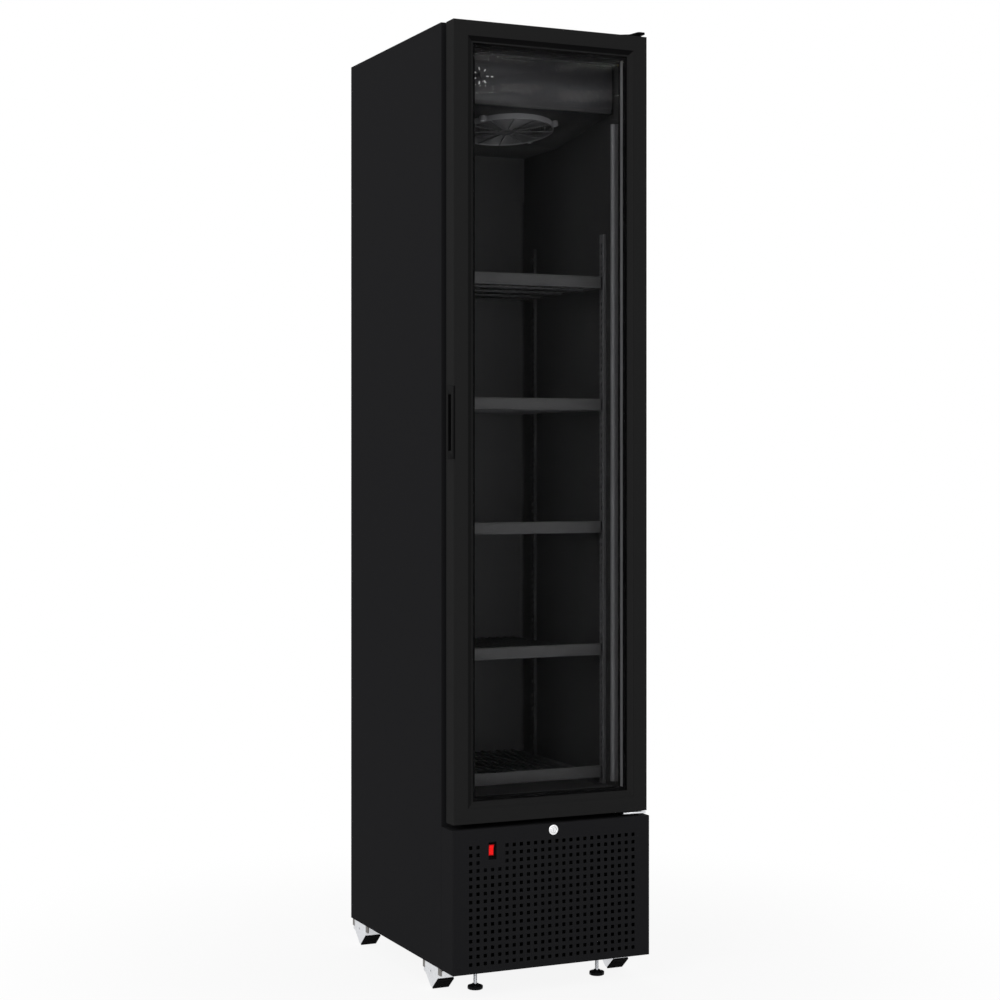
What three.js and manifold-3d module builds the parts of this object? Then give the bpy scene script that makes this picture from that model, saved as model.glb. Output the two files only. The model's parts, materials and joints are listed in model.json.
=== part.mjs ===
// Glass door merchandiser: a tall, slim, self-contained refrigerated cabinet.
// Millimetres, +X to the right seen from the front, +Y to the back, +Z up.
// The origin is on the floor, under the middle of the cabinet's outside box.

import * as THREE from 'three';
import { mergeVertices } from 'three/addons/utils/BufferGeometryUtils.js';
import Module from 'manifold-3d';

const wasm = await Module();
wasm.setup();

// ---------------------------------------------------------------- driving sizes

const WIDTH = 460;            // outside width
const BODY_HEIGHT = 1975;     // cabinet underside to cabinet top
const BODY_DEPTH = 538;       // rear panel to the face the door closes on
const FOOT_HEIGHT = 53;       // floor to cabinet underside
const PANEL_REACH = 62;       // the base panel stands this far in front of the cabinet
const GAP = 0.3;              // assembly gap between neighbouring pieces

const STEEL = 1;              // cabinet sheet
const FACE_LIP = 14;          // sheet folded over the cabinet's front edges
const BEND = 2;               // outside bend radius of the side panels
const LINER = 2;              // plastic inner liner
const SIDE_WALL = 42;
const TOP_WALL = 55;
const REAR_WALL = 48;
const FLOOR_WALL = 45;
const COMPARTMENT = 300;      // height of the machine compartment
const FACE_FRAME = 3;         // face frame thickness
const FACE_FRAME_DROP = 23;   // how far the face frame runs below the insulated floor

const DOOR_INSET = 4;         // door edge to cabinet side
const DOOR_TOP_STEP = 2.5;    // cabinet top to door top
const DOOR_THICK = 40;
const DOOR_SETBACK = 4.5;     // base panel front to door front
const DOOR_PANEL_GAP = 10.5;  // base panel top to door bottom
const DOOR_EDGE = 2;          // rounding of the door's front edges
const FRAME_FLAT = 32;        // flat band round the door's front
const FRAME_BEVEL = 10;       // sloping band inside it
const BEVEL_DEPTH = 5.5;
const FRAME_LEDGE = 3.5;      // step between the bevel and the glass
const GLASS_SETBACK = 7;      // door front to glass
const GLASS_UNIT = 24;        // thickness of the sealed glass unit
const PANE = 4;
const GLASS_HELD = 10;        // glass edge held inside the frame
const SPACER_SHOWN = 7;       // spacer bar seen inside the frame
const GASKET_WIDTH = 24;
const GASKET_INSET = 14;      // door edge to gasket
const GASKET_END = 12;        // door bottom to gasket
const SEAL_GAP = 0.5;         // gasket to cabinet face

const HANDLE_HEIGHT = 151;
const HANDLE_Z = 831;         // door bottom to the handle's middle
const HANDLE_BACK = 7;        // handle insert's back edge to the door's rear
const HANDLE_DEPTH = 20;
const HANDLE_CAP = 3;         // thickness of the strip on the door's front edge
const HANDLE_CAP_WIDTH = 8;
const GRIP_HEIGHT = 117;
const GRIP_FRONT = 15;        // door front to the near edge of the finger slot
const GRIP_WALL = 3.6;        // far edge of the finger slot to the insert's back edge
const GRIP_DEPTH = 16;

const HINGE_IN = 12;          // hinge axis to the door's right edge
const HINGE_PLATE = 4;
const HINGE_PLATE_WIDTH = 54;
const HINGE_NOSE = 19;        // width of the top plate's nose
const HINGE_NOSE_BACK = 5.5;  // door front to the nose
const HINGE_PIN = 4;          // pin radius
const HINGE_PIN_DEPTH = 14;
const HINGE_BOSS = 8;         // washer radius round each pin
const HINGE_PLAY = 0.5;       // radial play in the hinge bores
const HINGE_DROP = 2.5;       // door bottom to the bottom plate
const HINGE_FLANGE = 30;      // bottom bracket flange below its plate
const TOP_BRACKET_BACK = 58;  // top bracket length on the cabinet top

const PANEL_HEIGHT = 298.5;
const PANEL_SHEET = 1.2;
const PANEL_BEND = 3;
const PANEL_LIP = 15;
const HOLE = 7.8;             // square vent hole
const HOLE_PITCH_X = 16.5;
const HOLE_PITCH_Z = 16.1;
const HOLE_LOW = 19.5;        // panel bottom to the lowest row's middle
const HOLE_MARGIN_X = 36;     // plain sheet kept at each side of the holes
const HOLE_MARGIN_TOP = 28;

const SWITCH_COLUMN = 3;      // hole column, counted from 0, that the switch stands on
const SWITCH_Z = 252;         // panel bottom to switch middle
const CUTOUT_WIDTH = 18.4;
const CUTOUT_HEIGHT = 37;
const CUTOUT_MARGIN = 9;      // plain sheet kept round the cutout
const SWITCH_RECESS = 8;      // panel front to rocker face
const ROCKER_WIDTH = 12.4;
const ROCKER_HALF = 12;
const ROCKER_TILT = 14;       // degrees
const ROCKER_PIVOT = 7;       // rocker face to pivot
const ROCKER_PLAY = 0.4;
const SWITCH_WALL = 1.4;
const SWITCH_DEPTH = 22;
const SWITCH_PLATE_WIDTH = 83;
const SWITCH_PLATE_HEIGHT = 68;
const SWITCH_PLATE_DROP = 13; // plate middle below switch middle

const LOCK_Z = 285;           // panel bottom to lock axis
const LOCK_BARREL = 9.2;      // radius
const LOCK_RIM = 1.5;         // rim outside the barrel
const LOCK_WALL = 2.5;        // barrel wall round the plug
const LOCK_PROUD = 1.5;
const LOCK_LENGTH = 20;
const CAM_LENGTH = 34;
const CAM_WIDTH = 10;
const CAM_THICK = 2.5;
const CAM_PLAY = 1.5;

const SHELF_COUNT = 5;
const SHELF_LOW = 48;         // cavity floor to the lowest price strip's top edge
const SHELF_DROP = 455;       // cavity ceiling to the highest price strip's top edge
const SHELF_SIDE_GAP = 10.5;  // shelf to side wall
const SHELF_REAR_GAP = 6;
const SHELF_FRONT = 60;       // cabinet face to price strip
const STRIP_HEIGHT = 26;
const STRIP_THICK = 3;
const SHELF_BAR = 6;
const SHELF_BARS = 4;
const SHELF_BAR_FIRST = 79;   // price strip to the first cross bar
const SHELF_TAIL = 9;         // wires run on behind the last cross bar
const SHELF_WIRE = 4;
const SHELF_WIRES = 6;

const PILASTER_WIDTH = 18;
const PILASTER_DEPTH = 7;
const PILASTER_SHEET = 1.5;
const PILASTER_LOW = 8;       // above the cavity floor
const PILASTER_DROP = 362;    // cavity ceiling to the pilasters' top
const PILASTER_FRONT = 69;    // cabinet face to the front pilaster's middle
const PILASTER_REAR = 68;     // cavity rear to the rear pilaster's middle
const CLIP_SIZE = 8;

const LAMP_RADIUS = 7;
const LAMP_LOW = 21;          // above the cavity floor
const LAMP_DROP = 129;        // cavity ceiling to the lamp's top
const LAMP_BACK = 9;          // cabinet face to lamp axis
const LAMP_CAP = 22;
const LAMP_CLEAR = 1;         // tube to side wall

const COVER_FRONT = 18;       // cabinet face to evaporator cover
const COVER_HEIGHT = 104;
const COVER_SIDE_GAP = 7;
const COVER_SHEET = 1.5;
const COVER_LIP = 14;
const COVER_FLANGE = 15;      // cover front to the back of its lower flange
const DECK_SLOPE = 8;         // degrees, falling to the back
const DECK_SLOPE_LENGTH = 277;
const DECK_SHEET = 1.5;
const DECK_APRON = 104;       // baffle hanging from the deck's rear edge
const FAN_BACK = 157;         // evaporator cover to fan axis
const FAN_RADIUS = 84;
const FAN_CLEAR = 6;          // blade tips to the hole in the deck
const GUARD_RIM = 14;         // hole in the deck to the guard's outside
const GUARD_HEIGHT = 12;
const GUARD_WIRE = 2.4;
const GUARD_SPOKES = 6;
const GUARD_RINGS = 2;
const GUARD_HUB = 21;
const GUARD_LUG = 7.5;
const GUARD_LUG_OUT = 4.5;    // guard's outside to a lug's middle
const GUARD_LUG_ANGLE = 37;   // degrees from the x axis
const EVAPORATOR_SIDE = 48;   // evaporator coil to side wall
const EVAPORATOR_MARGIN = 38; // coil to the ends of the deck's level part
const EVAPORATOR_HEIGHT = 85;

const KNOB_IN = 49;           // cover's left edge to knob axis
const KNOB_DROP = 46;         // cavity ceiling to knob axis
const KNOB_RADIUS = 11;
const KNOB_LENGTH = 13;
const KNOB_SHAFT = 3;

const PAN_SHEET = 2;
const PAN_FLANGE = 20;
const LEVELLER_IN = 86;       // cabinet side to leveller axis
const LEVELLER_BACK = 19;     // cabinet face to leveller axis
const LEVELLER_DISC = 16.5;
const LEVELLER_STUD = 4;
const LEVELLER_PLAY = 0.6;
const SKID_WIDTH = 37;
const SKID_INSET = 4;         // cabinet side to skid
const SKID_SHEET = 2;
const SKID_FRONT_BACK = 56;   // cabinet face to the front skids' ground edge
const SKID_REAR_IN = 54.5;    // rear face to the rear skids' ground edge
const PAD_RUN = 29;
const PAD_RISE = 24;
const PAD_THICK = 3;

const COMPRESSOR_RADIUS = 66;
const COMPRESSOR_HEIGHT = 145;
const COMPRESSOR_SIDE = 135;  // cabinet side to compressor axis
const COMPRESSOR_IN = 135;    // rear face to compressor axis
const CONDENSER_SIDE = 80;    // cabinet side to condenser
const CONDENSER_HEIGHT = 230;
const CONDENSER_DEPTH = 50;
const CONDENSER_BACK = 42;    // cabinet face to condenser
const COOLING_FAN_RADIUS = 92;
const COOLING_FAN_Z = 118;    // above the base pan
const COOLING_FAN_BEHIND = 22;
const FAN_SHAFT = 3;
const CATCH_WIDTH = 150;      // condensate pan
const CATCH_DEPTH = 200;
const CATCH_HEIGHT = 38;
const CATCH_WALL = 2;
const CATCH_SIDE = 18;        // cabinet side to condensate pan
const CATCH_REAR = 35;

const SLOT_ROWS = 7;          // air slots in the rear panel
const SLOT_PITCH = 28;
const SLOT_WIDTH = 150;
const SLOT_HEIGHT = 9;
const SLOT_LOW = 75;
const GLAND_SIDE = 45;        // cabinet side to gland axis
const GLAND_Z = 40;
const GLAND_RADIUS = 7.7;
const GLAND_FLANGE = 12;
const GLAND_BORE = 4;
const GLAND_LENGTH = 16;

// ---------------------------------------------------------------- derived places

// Inside the cabinet group y = 0 is the face the door closes on and z = 0 is the
// cabinet's underside, so the names below are measured from there.
const depth = BODY_DEPTH + PANEL_REACH + LOCK_PROUD;
const sideX = WIDTH / 2;
const skinX = sideX - STEEL - GAP;
const skinRear = BODY_DEPTH - STEEL - GAP;
const levellerX = sideX - LEVELLER_IN;
const panelFront = -PANEL_REACH;

const cavityX = sideX - SIDE_WALL;
const cavityRear = BODY_DEPTH - REAR_WALL;
const cavityFloor = COMPARTMENT + FLOOR_WALL;
const cavityTop = BODY_HEIGHT - TOP_WALL;
const wallX = cavityX - GAP;

const doorX = sideX - DOOR_INSET;
const doorFront = panelFront + DOOR_SETBACK;
const doorLow = PANEL_HEIGHT + DOOR_PANEL_GAP;
const doorHeight = BODY_HEIGHT - DOOR_TOP_STEP - doorLow;
const frameWidth = FRAME_FLAT + FRAME_BEVEL + FRAME_LEDGE;
const hingeX = doorX - HINGE_IN;
const hingeY = doorFront + DOOR_THICK / 2;

// ---------------------------------------------------------------- shape helpers

function solid(geometry) {
  const bare = geometry.clone();
  bare.deleteAttribute('normal');
  bare.deleteAttribute('uv');
  const merged = mergeVertices(bare, 1e-4);
  return new wasm.Manifold(new wasm.Mesh({
    numProp: 3,
    vertProperties: new Float32Array(merged.attributes.position.array),
    triVerts: new Uint32Array(merged.index.array),
  }));
}

function join(...pieces) {
  return wasm.Manifold.union(pieces);
}

function cut(body, ...tools) {
  return body.subtract(wasm.Manifold.union(tools));
}

function toGeometry(manifold) {
  const mesh = manifold.getMesh();
  const geometry = new THREE.BufferGeometry();
  geometry.setAttribute('position', new THREE.BufferAttribute(mesh.vertProperties, 3));
  geometry.setIndex(new THREE.BufferAttribute(mesh.triVerts, 1));
  geometry.computeVertexNormals();
  return geometry;
}

// A box from its lowest to its highest corner.
function box(x0, x1, y0, y1, z0, z1) {
  const geometry = new THREE.BoxGeometry(x1 - x0, y1 - y0, z1 - z0);
  geometry.translate((x0 + x1) / 2, (y0 + y1) / 2, (z0 + z1) / 2);
  return solid(geometry);
}

function outline(points) {
  return new THREE.Shape(points.map(([u, v]) => new THREE.Vector2(u, v)));
}

// A straight bar along X whose outline is drawn in (y, z).
function barX(shape, x0, x1) {
  const geometry = new THREE.ExtrudeGeometry(shape, { depth: x1 - x0, bevelEnabled: false });
  const alongX = new THREE.Matrix4().makeBasis(
    new THREE.Vector3(0, 1, 0), new THREE.Vector3(0, 0, 1), new THREE.Vector3(1, 0, 0));
  geometry.applyMatrix4(alongX);
  geometry.translate(x0, 0, 0);
  return solid(geometry);
}

// A straight bar along Z whose outline is drawn in (x, y).
function barZ(shape, z0, z1, curveSegments = 4) {
  const options = { depth: z1 - z0, bevelEnabled: false, curveSegments };
  const geometry = new THREE.ExtrudeGeometry(shape, options);
  geometry.translate(0, 0, z0);
  return solid(geometry);
}

// Round rods along each axis; the first two numbers place the axis.
function rodZ(x, y, radius, z0, z1, sides = 16) {
  const geometry = new THREE.CylinderGeometry(radius, radius, z1 - z0, sides);
  geometry.rotateX(Math.PI / 2);
  geometry.translate(x, y, (z0 + z1) / 2);
  return solid(geometry);
}

function rodY(x, z, radius, y0, y1, sides = 16) {
  const geometry = new THREE.CylinderGeometry(radius, radius, y1 - y0, sides);
  geometry.translate(x, (y0 + y1) / 2, z);
  return solid(geometry);
}

function rodX(y, z, radius, x0, x1, sides = 12) {
  const geometry = new THREE.CylinderGeometry(radius, radius, x1 - x0, sides);
  geometry.rotateZ(Math.PI / 2);
  geometry.translate((x0 + x1) / 2, y, z);
  return solid(geometry);
}

// A turned piece about Z from a profile of (radius, z) points that ends on the axis.
function turned(points, sides) {
  const profile = points.map(([r, z]) => new THREE.Vector2(r, z));
  const geometry = new THREE.LatheGeometry(profile, sides);
  geometry.rotateX(Math.PI / 2);
  return solid(geometry);
}

function ringZ(inner, outer, z0, z1, sides) {
  return cut(rodZ(0, 0, outer, z0, z1, sides), rodZ(0, 0, inner, z0 - 1, z1 + 1, sides));
}

// A plan outline with straight sides and a flat back, rounded at its two front corners.
function frontRounded(half, front, back, radius) {
  const shape = new THREE.Shape();
  shape.moveTo(half, back);
  shape.lineTo(-half, back);
  shape.lineTo(-half, front + radius);
  shape.absarc(-half + radius, front + radius, radius, Math.PI, 1.5 * Math.PI, false);
  shape.lineTo(half - radius, front);
  shape.absarc(half - radius, front + radius, radius, 1.5 * Math.PI, 2 * Math.PI, false);
  shape.lineTo(half, back);
  return shape;
}

// A block of upright fins: a core with grooves along its front and back.
function finBlock(width, deep, height, grooves, grooveDepth) {
  const rim = 3;
  const pitch = width / grooves;
  const cutters = [];
  for (let index = 0; index < grooves; index += 1) {
    const x = -width / 2 + (index + 0.5) * pitch;
    for (const face of [0, deep]) {
      cutters.push(box(x - pitch / 4, x + pitch / 4,
        face - grooveDepth, face + grooveDepth, rim, height - rim));
    }
  }
  return cut(box(-width / 2, width / 2, 0, deep, 0, height), ...cutters);
}

// A fan wheel about Z with twisted flat blades.
function fanWheel(radius, hubRadius, hubLow, hubHigh, bladeCount) {
  const sweep = THREE.MathUtils.degToRad(20);
  const twist = 20;
  const thick = 1.8;
  const root = hubRadius - 3;
  const blade = new THREE.Shape();
  blade.moveTo(root, -hubRadius * 0.3);
  blade.lineTo(radius * Math.cos(sweep), -radius * Math.sin(sweep));
  blade.absarc(0, 0, radius, -sweep, sweep, false);
  blade.lineTo(root, hubRadius * 0.3);
  blade.closePath();
  const flat = barZ(blade, -thick / 2, thick / 2, 4).rotate([twist, 0, 0]);
  const middle = (hubLow + hubHigh) / 2;
  const pieces = [rodZ(0, 0, hubRadius, hubLow, hubHigh)];
  for (let index = 0; index < bladeCount; index += 1) {
    const turn = [0, 0, index * 360 / bladeCount];
    pieces.push(flat.rotate(turn).translate([0, 0, middle]));
  }
  return join(...pieces);
}

// ---------------------------------------------------------------- finishes

const finishes = {
  blackPaint: { color: 0x232325, roughness: 0.45, metalness: 0.1 },
  blackSatin: { color: 0x202022, roughness: 0.4, metalness: 0 },
  blackLiner: { color: 0x1c1c1e, roughness: 0.35, metalness: 0 },
  blackRubber: { color: 0x0c0c0c, roughness: 0.7, metalness: 0 },
  blackMetal: { color: 0x151515, roughness: 0.5, metalness: 0.3 },
  foam: { color: 0xd9c58a, roughness: 0.9, metalness: 0 },
  zinc: { color: 0xc9ccd0, roughness: 0.35, metalness: 0.9 },
  chrome: { color: 0xe8e8ea, roughness: 0.12, metalness: 1 },
  glass: { color: 0x9aa4a8, roughness: 0.05, metalness: 0, transparent: true, opacity: 0.3 },
  greyStrip: { color: 0x5a5a5e, roughness: 0.5, metalness: 0 },
  lampWhite: { color: 0xd8d8dc, roughness: 0.4, metalness: 0 },
  redLens: { color: 0xe01818, roughness: 0.25, metalness: 0 },
  aluminium: { color: 0xb8babd, roughness: 0.4, metalness: 0.9 },
};

// Adds one named piece to a group, with its own origin at the place given.
function add(group, name, manifold, finish, x = 0, y = 0, z = 0) {
  const material = new THREE.MeshStandardMaterial(finishes[finish]);
  const mesh = new THREE.Mesh(toGeometry(manifold), material);
  mesh.name = name;
  mesh.position.set(x, y, z);
  group.add(mesh);
  return mesh;
}

function addGroup(parent, x, y, z) {
  const group = new THREE.Group();
  group.position.set(x, y, z);
  parent.add(group);
  return group;
}

const merchandiser = new THREE.Group();
const cabinet = addGroup(merchandiser, 0, depth / 2 - BODY_DEPTH, FOOT_HEIGHT);

// ---------------------------------------------------------------- cabinet body

function sidePanel() {
  const shape = new THREE.Shape();
  shape.moveTo(sideX, BODY_DEPTH);
  shape.lineTo(sideX - STEEL, BODY_DEPTH);
  shape.lineTo(sideX - STEEL, STEEL);
  shape.lineTo(sideX - FACE_LIP, STEEL);
  shape.lineTo(sideX - FACE_LIP, 0);
  shape.lineTo(sideX - BEND, 0);
  shape.absarc(sideX - BEND, BEND, BEND, -Math.PI / 2, 0, false);
  shape.lineTo(sideX, BODY_DEPTH);
  return barZ(shape, 0, BODY_HEIGHT);
}

function topPanel() {
  const lipX = sideX - FACE_LIP - GAP;
  const low = BODY_HEIGHT - STEEL;
  return join(
    box(-skinX, skinX, STEEL + GAP, skinRear, low, BODY_HEIGHT),
    box(-lipX, lipX, 0, STEEL + 2 * GAP, low, BODY_HEIGHT),
    box(-lipX, lipX, 0, STEEL, BODY_HEIGHT - FACE_LIP, BODY_HEIGHT));
}

const glandX = sideX - GLAND_SIDE;

function rearPanel() {
  const y0 = BODY_DEPTH - STEEL;
  const cutters = [rodY(glandX, GLAND_Z, GLAND_RADIUS + GAP, y0 - 1, BODY_DEPTH + 1)];
  for (let row = 0; row < SLOT_ROWS; row += 1) {
    const z = SLOT_LOW + row * SLOT_PITCH;
    for (const middle of [-skinX / 2, skinX / 2]) {
      cutters.push(box(middle - SLOT_WIDTH / 2, middle + SLOT_WIDTH / 2,
        y0 - 1, BODY_DEPTH + 1, z, z + SLOT_HEIGHT));
    }
  }
  return cut(box(-skinX, skinX, y0, BODY_DEPTH, 0, BODY_HEIGHT), ...cutters);
}

function cordGland() {
  const flangeThick = 4;
  return cut(
    join(
      rodY(0, 0, GLAND_RADIUS, -GLAND_LENGTH, 0),
      rodY(0, 0, GLAND_FLANGE, -STEEL - GAP - flangeThick, -STEEL - GAP)),
    rodY(0, 0, GLAND_BORE, -GLAND_LENGTH - 1, 1));
}

function faceFrame() {
  const outer = sideX - FACE_LIP - GAP;
  return cut(
    box(-outer, outer, 0, FACE_FRAME,
      COMPARTMENT - FACE_FRAME_DROP, BODY_HEIGHT - FACE_LIP - GAP),
    box(-cavityX, cavityX, -1, FACE_FRAME + 1, cavityFloor, cavityTop));
}

const linerFront = FACE_FRAME + GAP;

function insulation() {
  const wall = LINER + GAP;
  return cut(
    box(-skinX, skinX, linerFront, skinRear, COMPARTMENT, BODY_HEIGHT - STEEL - GAP),
    box(-cavityX - wall, cavityX + wall, linerFront - 1, cavityRear + wall,
      cavityFloor - wall, cavityTop + wall));
}

function innerLiner() {
  return cut(
    box(-cavityX - LINER, cavityX + LINER, linerFront, cavityRear + LINER,
      cavityFloor - LINER, cavityTop + LINER),
    box(-cavityX, cavityX, linerFront - 1, cavityRear, cavityFloor, cavityTop));
}

function basePan() {
  const nutRadius = 10;
  const nutHeight = 8;
  const flangeX = sideX - FACE_LIP - GAP;
  const pieces = [
    box(-skinX, skinX, STEEL + GAP, skinRear, 0, PAN_SHEET),
    box(-flangeX, flangeX, GAP, GAP + PAN_SHEET, 0, PAN_FLANGE),
    box(-skinX, skinX, skinRear - PAN_SHEET, skinRear, 0, PAN_FLANGE)];
  const bores = [];
  for (const x of [-levellerX, levellerX]) {
    pieces.push(rodZ(x, LEVELLER_BACK, nutRadius, 0, PAN_SHEET + nutHeight, 6));
    bores.push(rodZ(x, LEVELLER_BACK, LEVELLER_STUD + LEVELLER_PLAY, -1, nutHeight * 2, 12));
  }
  return cut(join(...pieces), ...bores);
}

add(cabinet, 'side_panel_right', sidePanel(), 'blackPaint');
add(cabinet, 'side_panel_left', sidePanel().mirror([1, 0, 0]), 'blackPaint');
add(cabinet, 'top_panel', topPanel(), 'blackPaint');
add(cabinet, 'rear_panel', rearPanel(), 'blackPaint');
add(cabinet, 'face_frame', faceFrame(), 'blackSatin');
add(cabinet, 'insulation', insulation(), 'foam');
add(cabinet, 'inner_liner', innerLiner(), 'blackLiner');
add(cabinet, 'base_pan', basePan(), 'zinc');
add(cabinet, 'cord_gland', cordGland(), 'blackRubber', glandX, BODY_DEPTH, GLAND_Z);

// ---------------------------------------------------------------- base panel

const basePanelGroup = addGroup(cabinet, 0, panelFront, 0);
const panelBack = PANEL_REACH - GAP;
const holeField = WIDTH - 2 * HOLE_MARGIN_X - HOLE;
const holeColumns = Math.floor(holeField / HOLE_PITCH_X) + 1;
const holeRise = PANEL_HEIGHT - HOLE_MARGIN_TOP - HOLE / 2 - HOLE_LOW;
const holeRows = Math.floor(holeRise / HOLE_PITCH_Z) + 1;
const holeLeft = -(holeColumns - 1) / 2 * HOLE_PITCH_X;
const switchX = holeLeft + SWITCH_COLUMN * HOLE_PITCH_X;
const camFront = LOCK_LENGTH + GAP;
const camReach = Math.hypot(CAM_LENGTH, CAM_WIDTH / 2);

// The room that the lock's cam sweeps between two heights above the lock's axis.
function camSlot(z0, z1) {
  const halfChord = Math.sqrt(camReach ** 2 - z0 ** 2);
  return box(-halfChord - CAM_PLAY, CAM_WIDTH / 2 + CAM_PLAY,
    camFront - CAM_PLAY, camFront + CAM_THICK + CAM_PLAY, z0, z1);
}

function ventHoles() {
  const clearX = (CUTOUT_WIDTH + HOLE) / 2 + CUTOUT_MARGIN;
  const clearZ = (CUTOUT_HEIGHT + HOLE) / 2 + CUTOUT_MARGIN / 2;
  const holes = [];
  for (let row = 0; row < holeRows; row += 1) {
    for (let column = 0; column < holeColumns; column += 1) {
      const x = holeLeft + column * HOLE_PITCH_X;
      const z = HOLE_LOW + row * HOLE_PITCH_Z;
      const nearSwitch = Math.abs(x - switchX) < clearX && Math.abs(z - SWITCH_Z) < clearZ;
      if (!nearSwitch) {
        holes.push(box(x - HOLE / 2, x + HOLE / 2, -1, PANEL_LIP / 2,
          z - HOLE / 2, z + HOLE / 2));
      }
    }
  }
  return holes;
}

function basePanel() {
  const t = PANEL_SHEET;
  const insideX = sideX - t;
  const slotLow = PANEL_HEIGHT - t - 1;
  const flangeBack = PANEL_REACH - HINGE_PLATE - 2 * GAP;
  return cut(
    barZ(frontRounded(sideX, 0, panelBack, PANEL_BEND), 0, PANEL_HEIGHT),
    barZ(frontRounded(insideX, t, panelBack + 1, PANEL_BEND - t), t, PANEL_HEIGHT - t),
    box(-insideX, insideX, PANEL_LIP, panelBack + 1, -1, t + 1),
    box(-insideX, insideX, flangeBack, panelBack + 1, slotLow, PANEL_HEIGHT + 1),
    camSlot(slotLow - LOCK_Z, PANEL_HEIGHT + 1 - LOCK_Z).translate([0, 0, LOCK_Z]),
    rodY(0, LOCK_Z, LOCK_BARREL + GAP, -1, t + 1, 24),
    box(switchX - CUTOUT_WIDTH / 2, switchX + CUTOUT_WIDTH / 2, -1, t + 1,
      SWITCH_Z - CUTOUT_HEIGHT / 2, SWITCH_Z + CUTOUT_HEIGHT / 2),
    ...ventHoles());
}

add(basePanelGroup, 'base_panel', basePanel(), 'blackPaint');

// ---------------------------------------------------------------- switch

// Inside the switch group the origin is the rocker's pivot.
const pivotBack = SWITCH_RECESS + ROCKER_PIVOT;
const rockerSwitch = addGroup(basePanelGroup, switchX, pivotBack, SWITCH_Z);
const tilt = THREE.MathUtils.degToRad(ROCKER_TILT);
const rockerSwing = ROCKER_HALF / Math.cos(tilt) + ROCKER_PIVOT * Math.sin(tilt);
const wellX = ROCKER_WIDTH / 2 + ROCKER_PLAY;
const wellZ = rockerSwing + ROCKER_PLAY;
const switchBodyX = wellX + SWITCH_WALL;
const switchBodyZ = wellZ + SWITCH_WALL;
const bezelFront = 0.5 - ROCKER_PIVOT;
const BEZEL_THICK = 1.5;
const PIVOT_PIN = 1.5;

function rocker() {
  const proud = ROCKER_HALF * Math.tan(tilt);
  const body = outline([
    [-ROCKER_PIVOT, -ROCKER_HALF], [3, -ROCKER_HALF / 2], [3, ROCKER_HALF / 2],
    [-3, ROCKER_HALF], [-ROCKER_PIVOT - proud, ROCKER_HALF], [-ROCKER_PIVOT, 0]]);
  const half = ROCKER_WIDTH / 2;
  const pin = half + SWITCH_WALL;
  return join(barX(body, -half, half), rodX(0, 0, PIVOT_PIN, -pin, pin));
}

function switchBody() {
  const back = bezelFront + SWITCH_DEPTH;
  const wellBack = back - 8;
  const bezelX = (switchBodyX + CUTOUT_WIDTH / 2) / 2;
  const bezelZ = (switchBodyZ + CUTOUT_HEIGHT / 2) / 2;
  return cut(
    join(
      box(-bezelX, bezelX, bezelFront, bezelFront + BEZEL_THICK, -bezelZ, bezelZ),
      box(-switchBodyX, switchBodyX, bezelFront, back, -switchBodyZ, switchBodyZ)),
    box(-wellX, wellX, bezelFront - 1, wellBack, -wellZ, wellZ),
    rodX(0, 0, PIVOT_PIN + GAP, -switchBodyX - 1, switchBodyX + 1));
}

function switchPlate() {
  const t = PANEL_SHEET;
  const half = SWITCH_PLATE_WIDTH / 2;
  const front = bezelFront + BEZEL_THICK + GAP;
  const back = front + t;
  const legFront = t + GAP - pivotBack;
  const low = -SWITCH_PLATE_DROP - SWITCH_PLATE_HEIGHT / 2;
  const high = low + SWITCH_PLATE_HEIGHT;
  const holeX = switchBodyX + GAP;
  const holeZ = switchBodyZ + GAP;
  return cut(
    join(
      box(-half, half, front, back, low, high),
      box(-half, t - half, legFront, back, low, high),
      box(half - t, half, legFront, back, low, high)),
    box(-holeX, holeX, front - 1, back + 1, -holeZ, holeZ));
}

add(rockerSwitch, 'rocker', rocker(), 'redLens');
add(rockerSwitch, 'switch_body', switchBody(), 'blackSatin');
add(rockerSwitch, 'switch_plate', switchPlate(), 'blackPaint');

// ---------------------------------------------------------------- lock

const lock = addGroup(basePanelGroup, 0, 0, LOCK_Z);

function lockBody() {
  return cut(
    join(
      rodY(0, 0, LOCK_BARREL + LOCK_RIM, -LOCK_PROUD, -GAP, 24),
      rodY(0, 0, LOCK_BARREL, -LOCK_PROUD, LOCK_LENGTH, 24)),
    rodY(0, 0, LOCK_BARREL - LOCK_WALL, -LOCK_PROUD - 1, LOCK_LENGTH + 1, 24));
}

function lockCylinder() {
  const keyWidth = 2;
  const keyHeight = 7.5;
  const keyDepth = 3;
  const front = 0.4 - LOCK_PROUD;
  const plug = LOCK_BARREL - LOCK_WALL - GAP;
  return cut(
    join(
      rodY(0, 0, plug, front, camFront + CAM_THICK, 24),
      box(-CAM_LENGTH, CAM_WIDTH / 2, camFront, camFront + CAM_THICK,
        -CAM_WIDTH / 2, CAM_WIDTH / 2)),
    box(-keyWidth / 2, keyWidth / 2, front - 1, front + keyDepth,
      -keyHeight / 2, keyHeight / 2));
}

add(lock, 'lock_body', lockBody(), 'chrome');
add(lock, 'lock_cylinder', lockCylinder(), 'chrome');

// ---------------------------------------------------------------- feet

function leveller() {
  const r = LEVELLER_DISC;
  const discTop = 7.5;
  const nutTop = 15;
  const studTop = FOOT_HEIGHT + 24;
  return join(
    turned([[0, 0], [r - 2, 0], [r, 2], [r, 5.5], [r - 5, discTop], [0, discTop]], 12),
    rodZ(0, 0, 8, discTop - 0.5, nutTop, 6),
    rodZ(0, 0, LEVELLER_STUD, nutTop - 1, studTop, 12));
}

// A skid and its pad are drawn with their ground edge at y = z = 0 and their front at -y.
// The pad lies under a web that rises forwards from that edge.
const padLength = Math.hypot(PAD_RUN, PAD_RISE);

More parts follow.
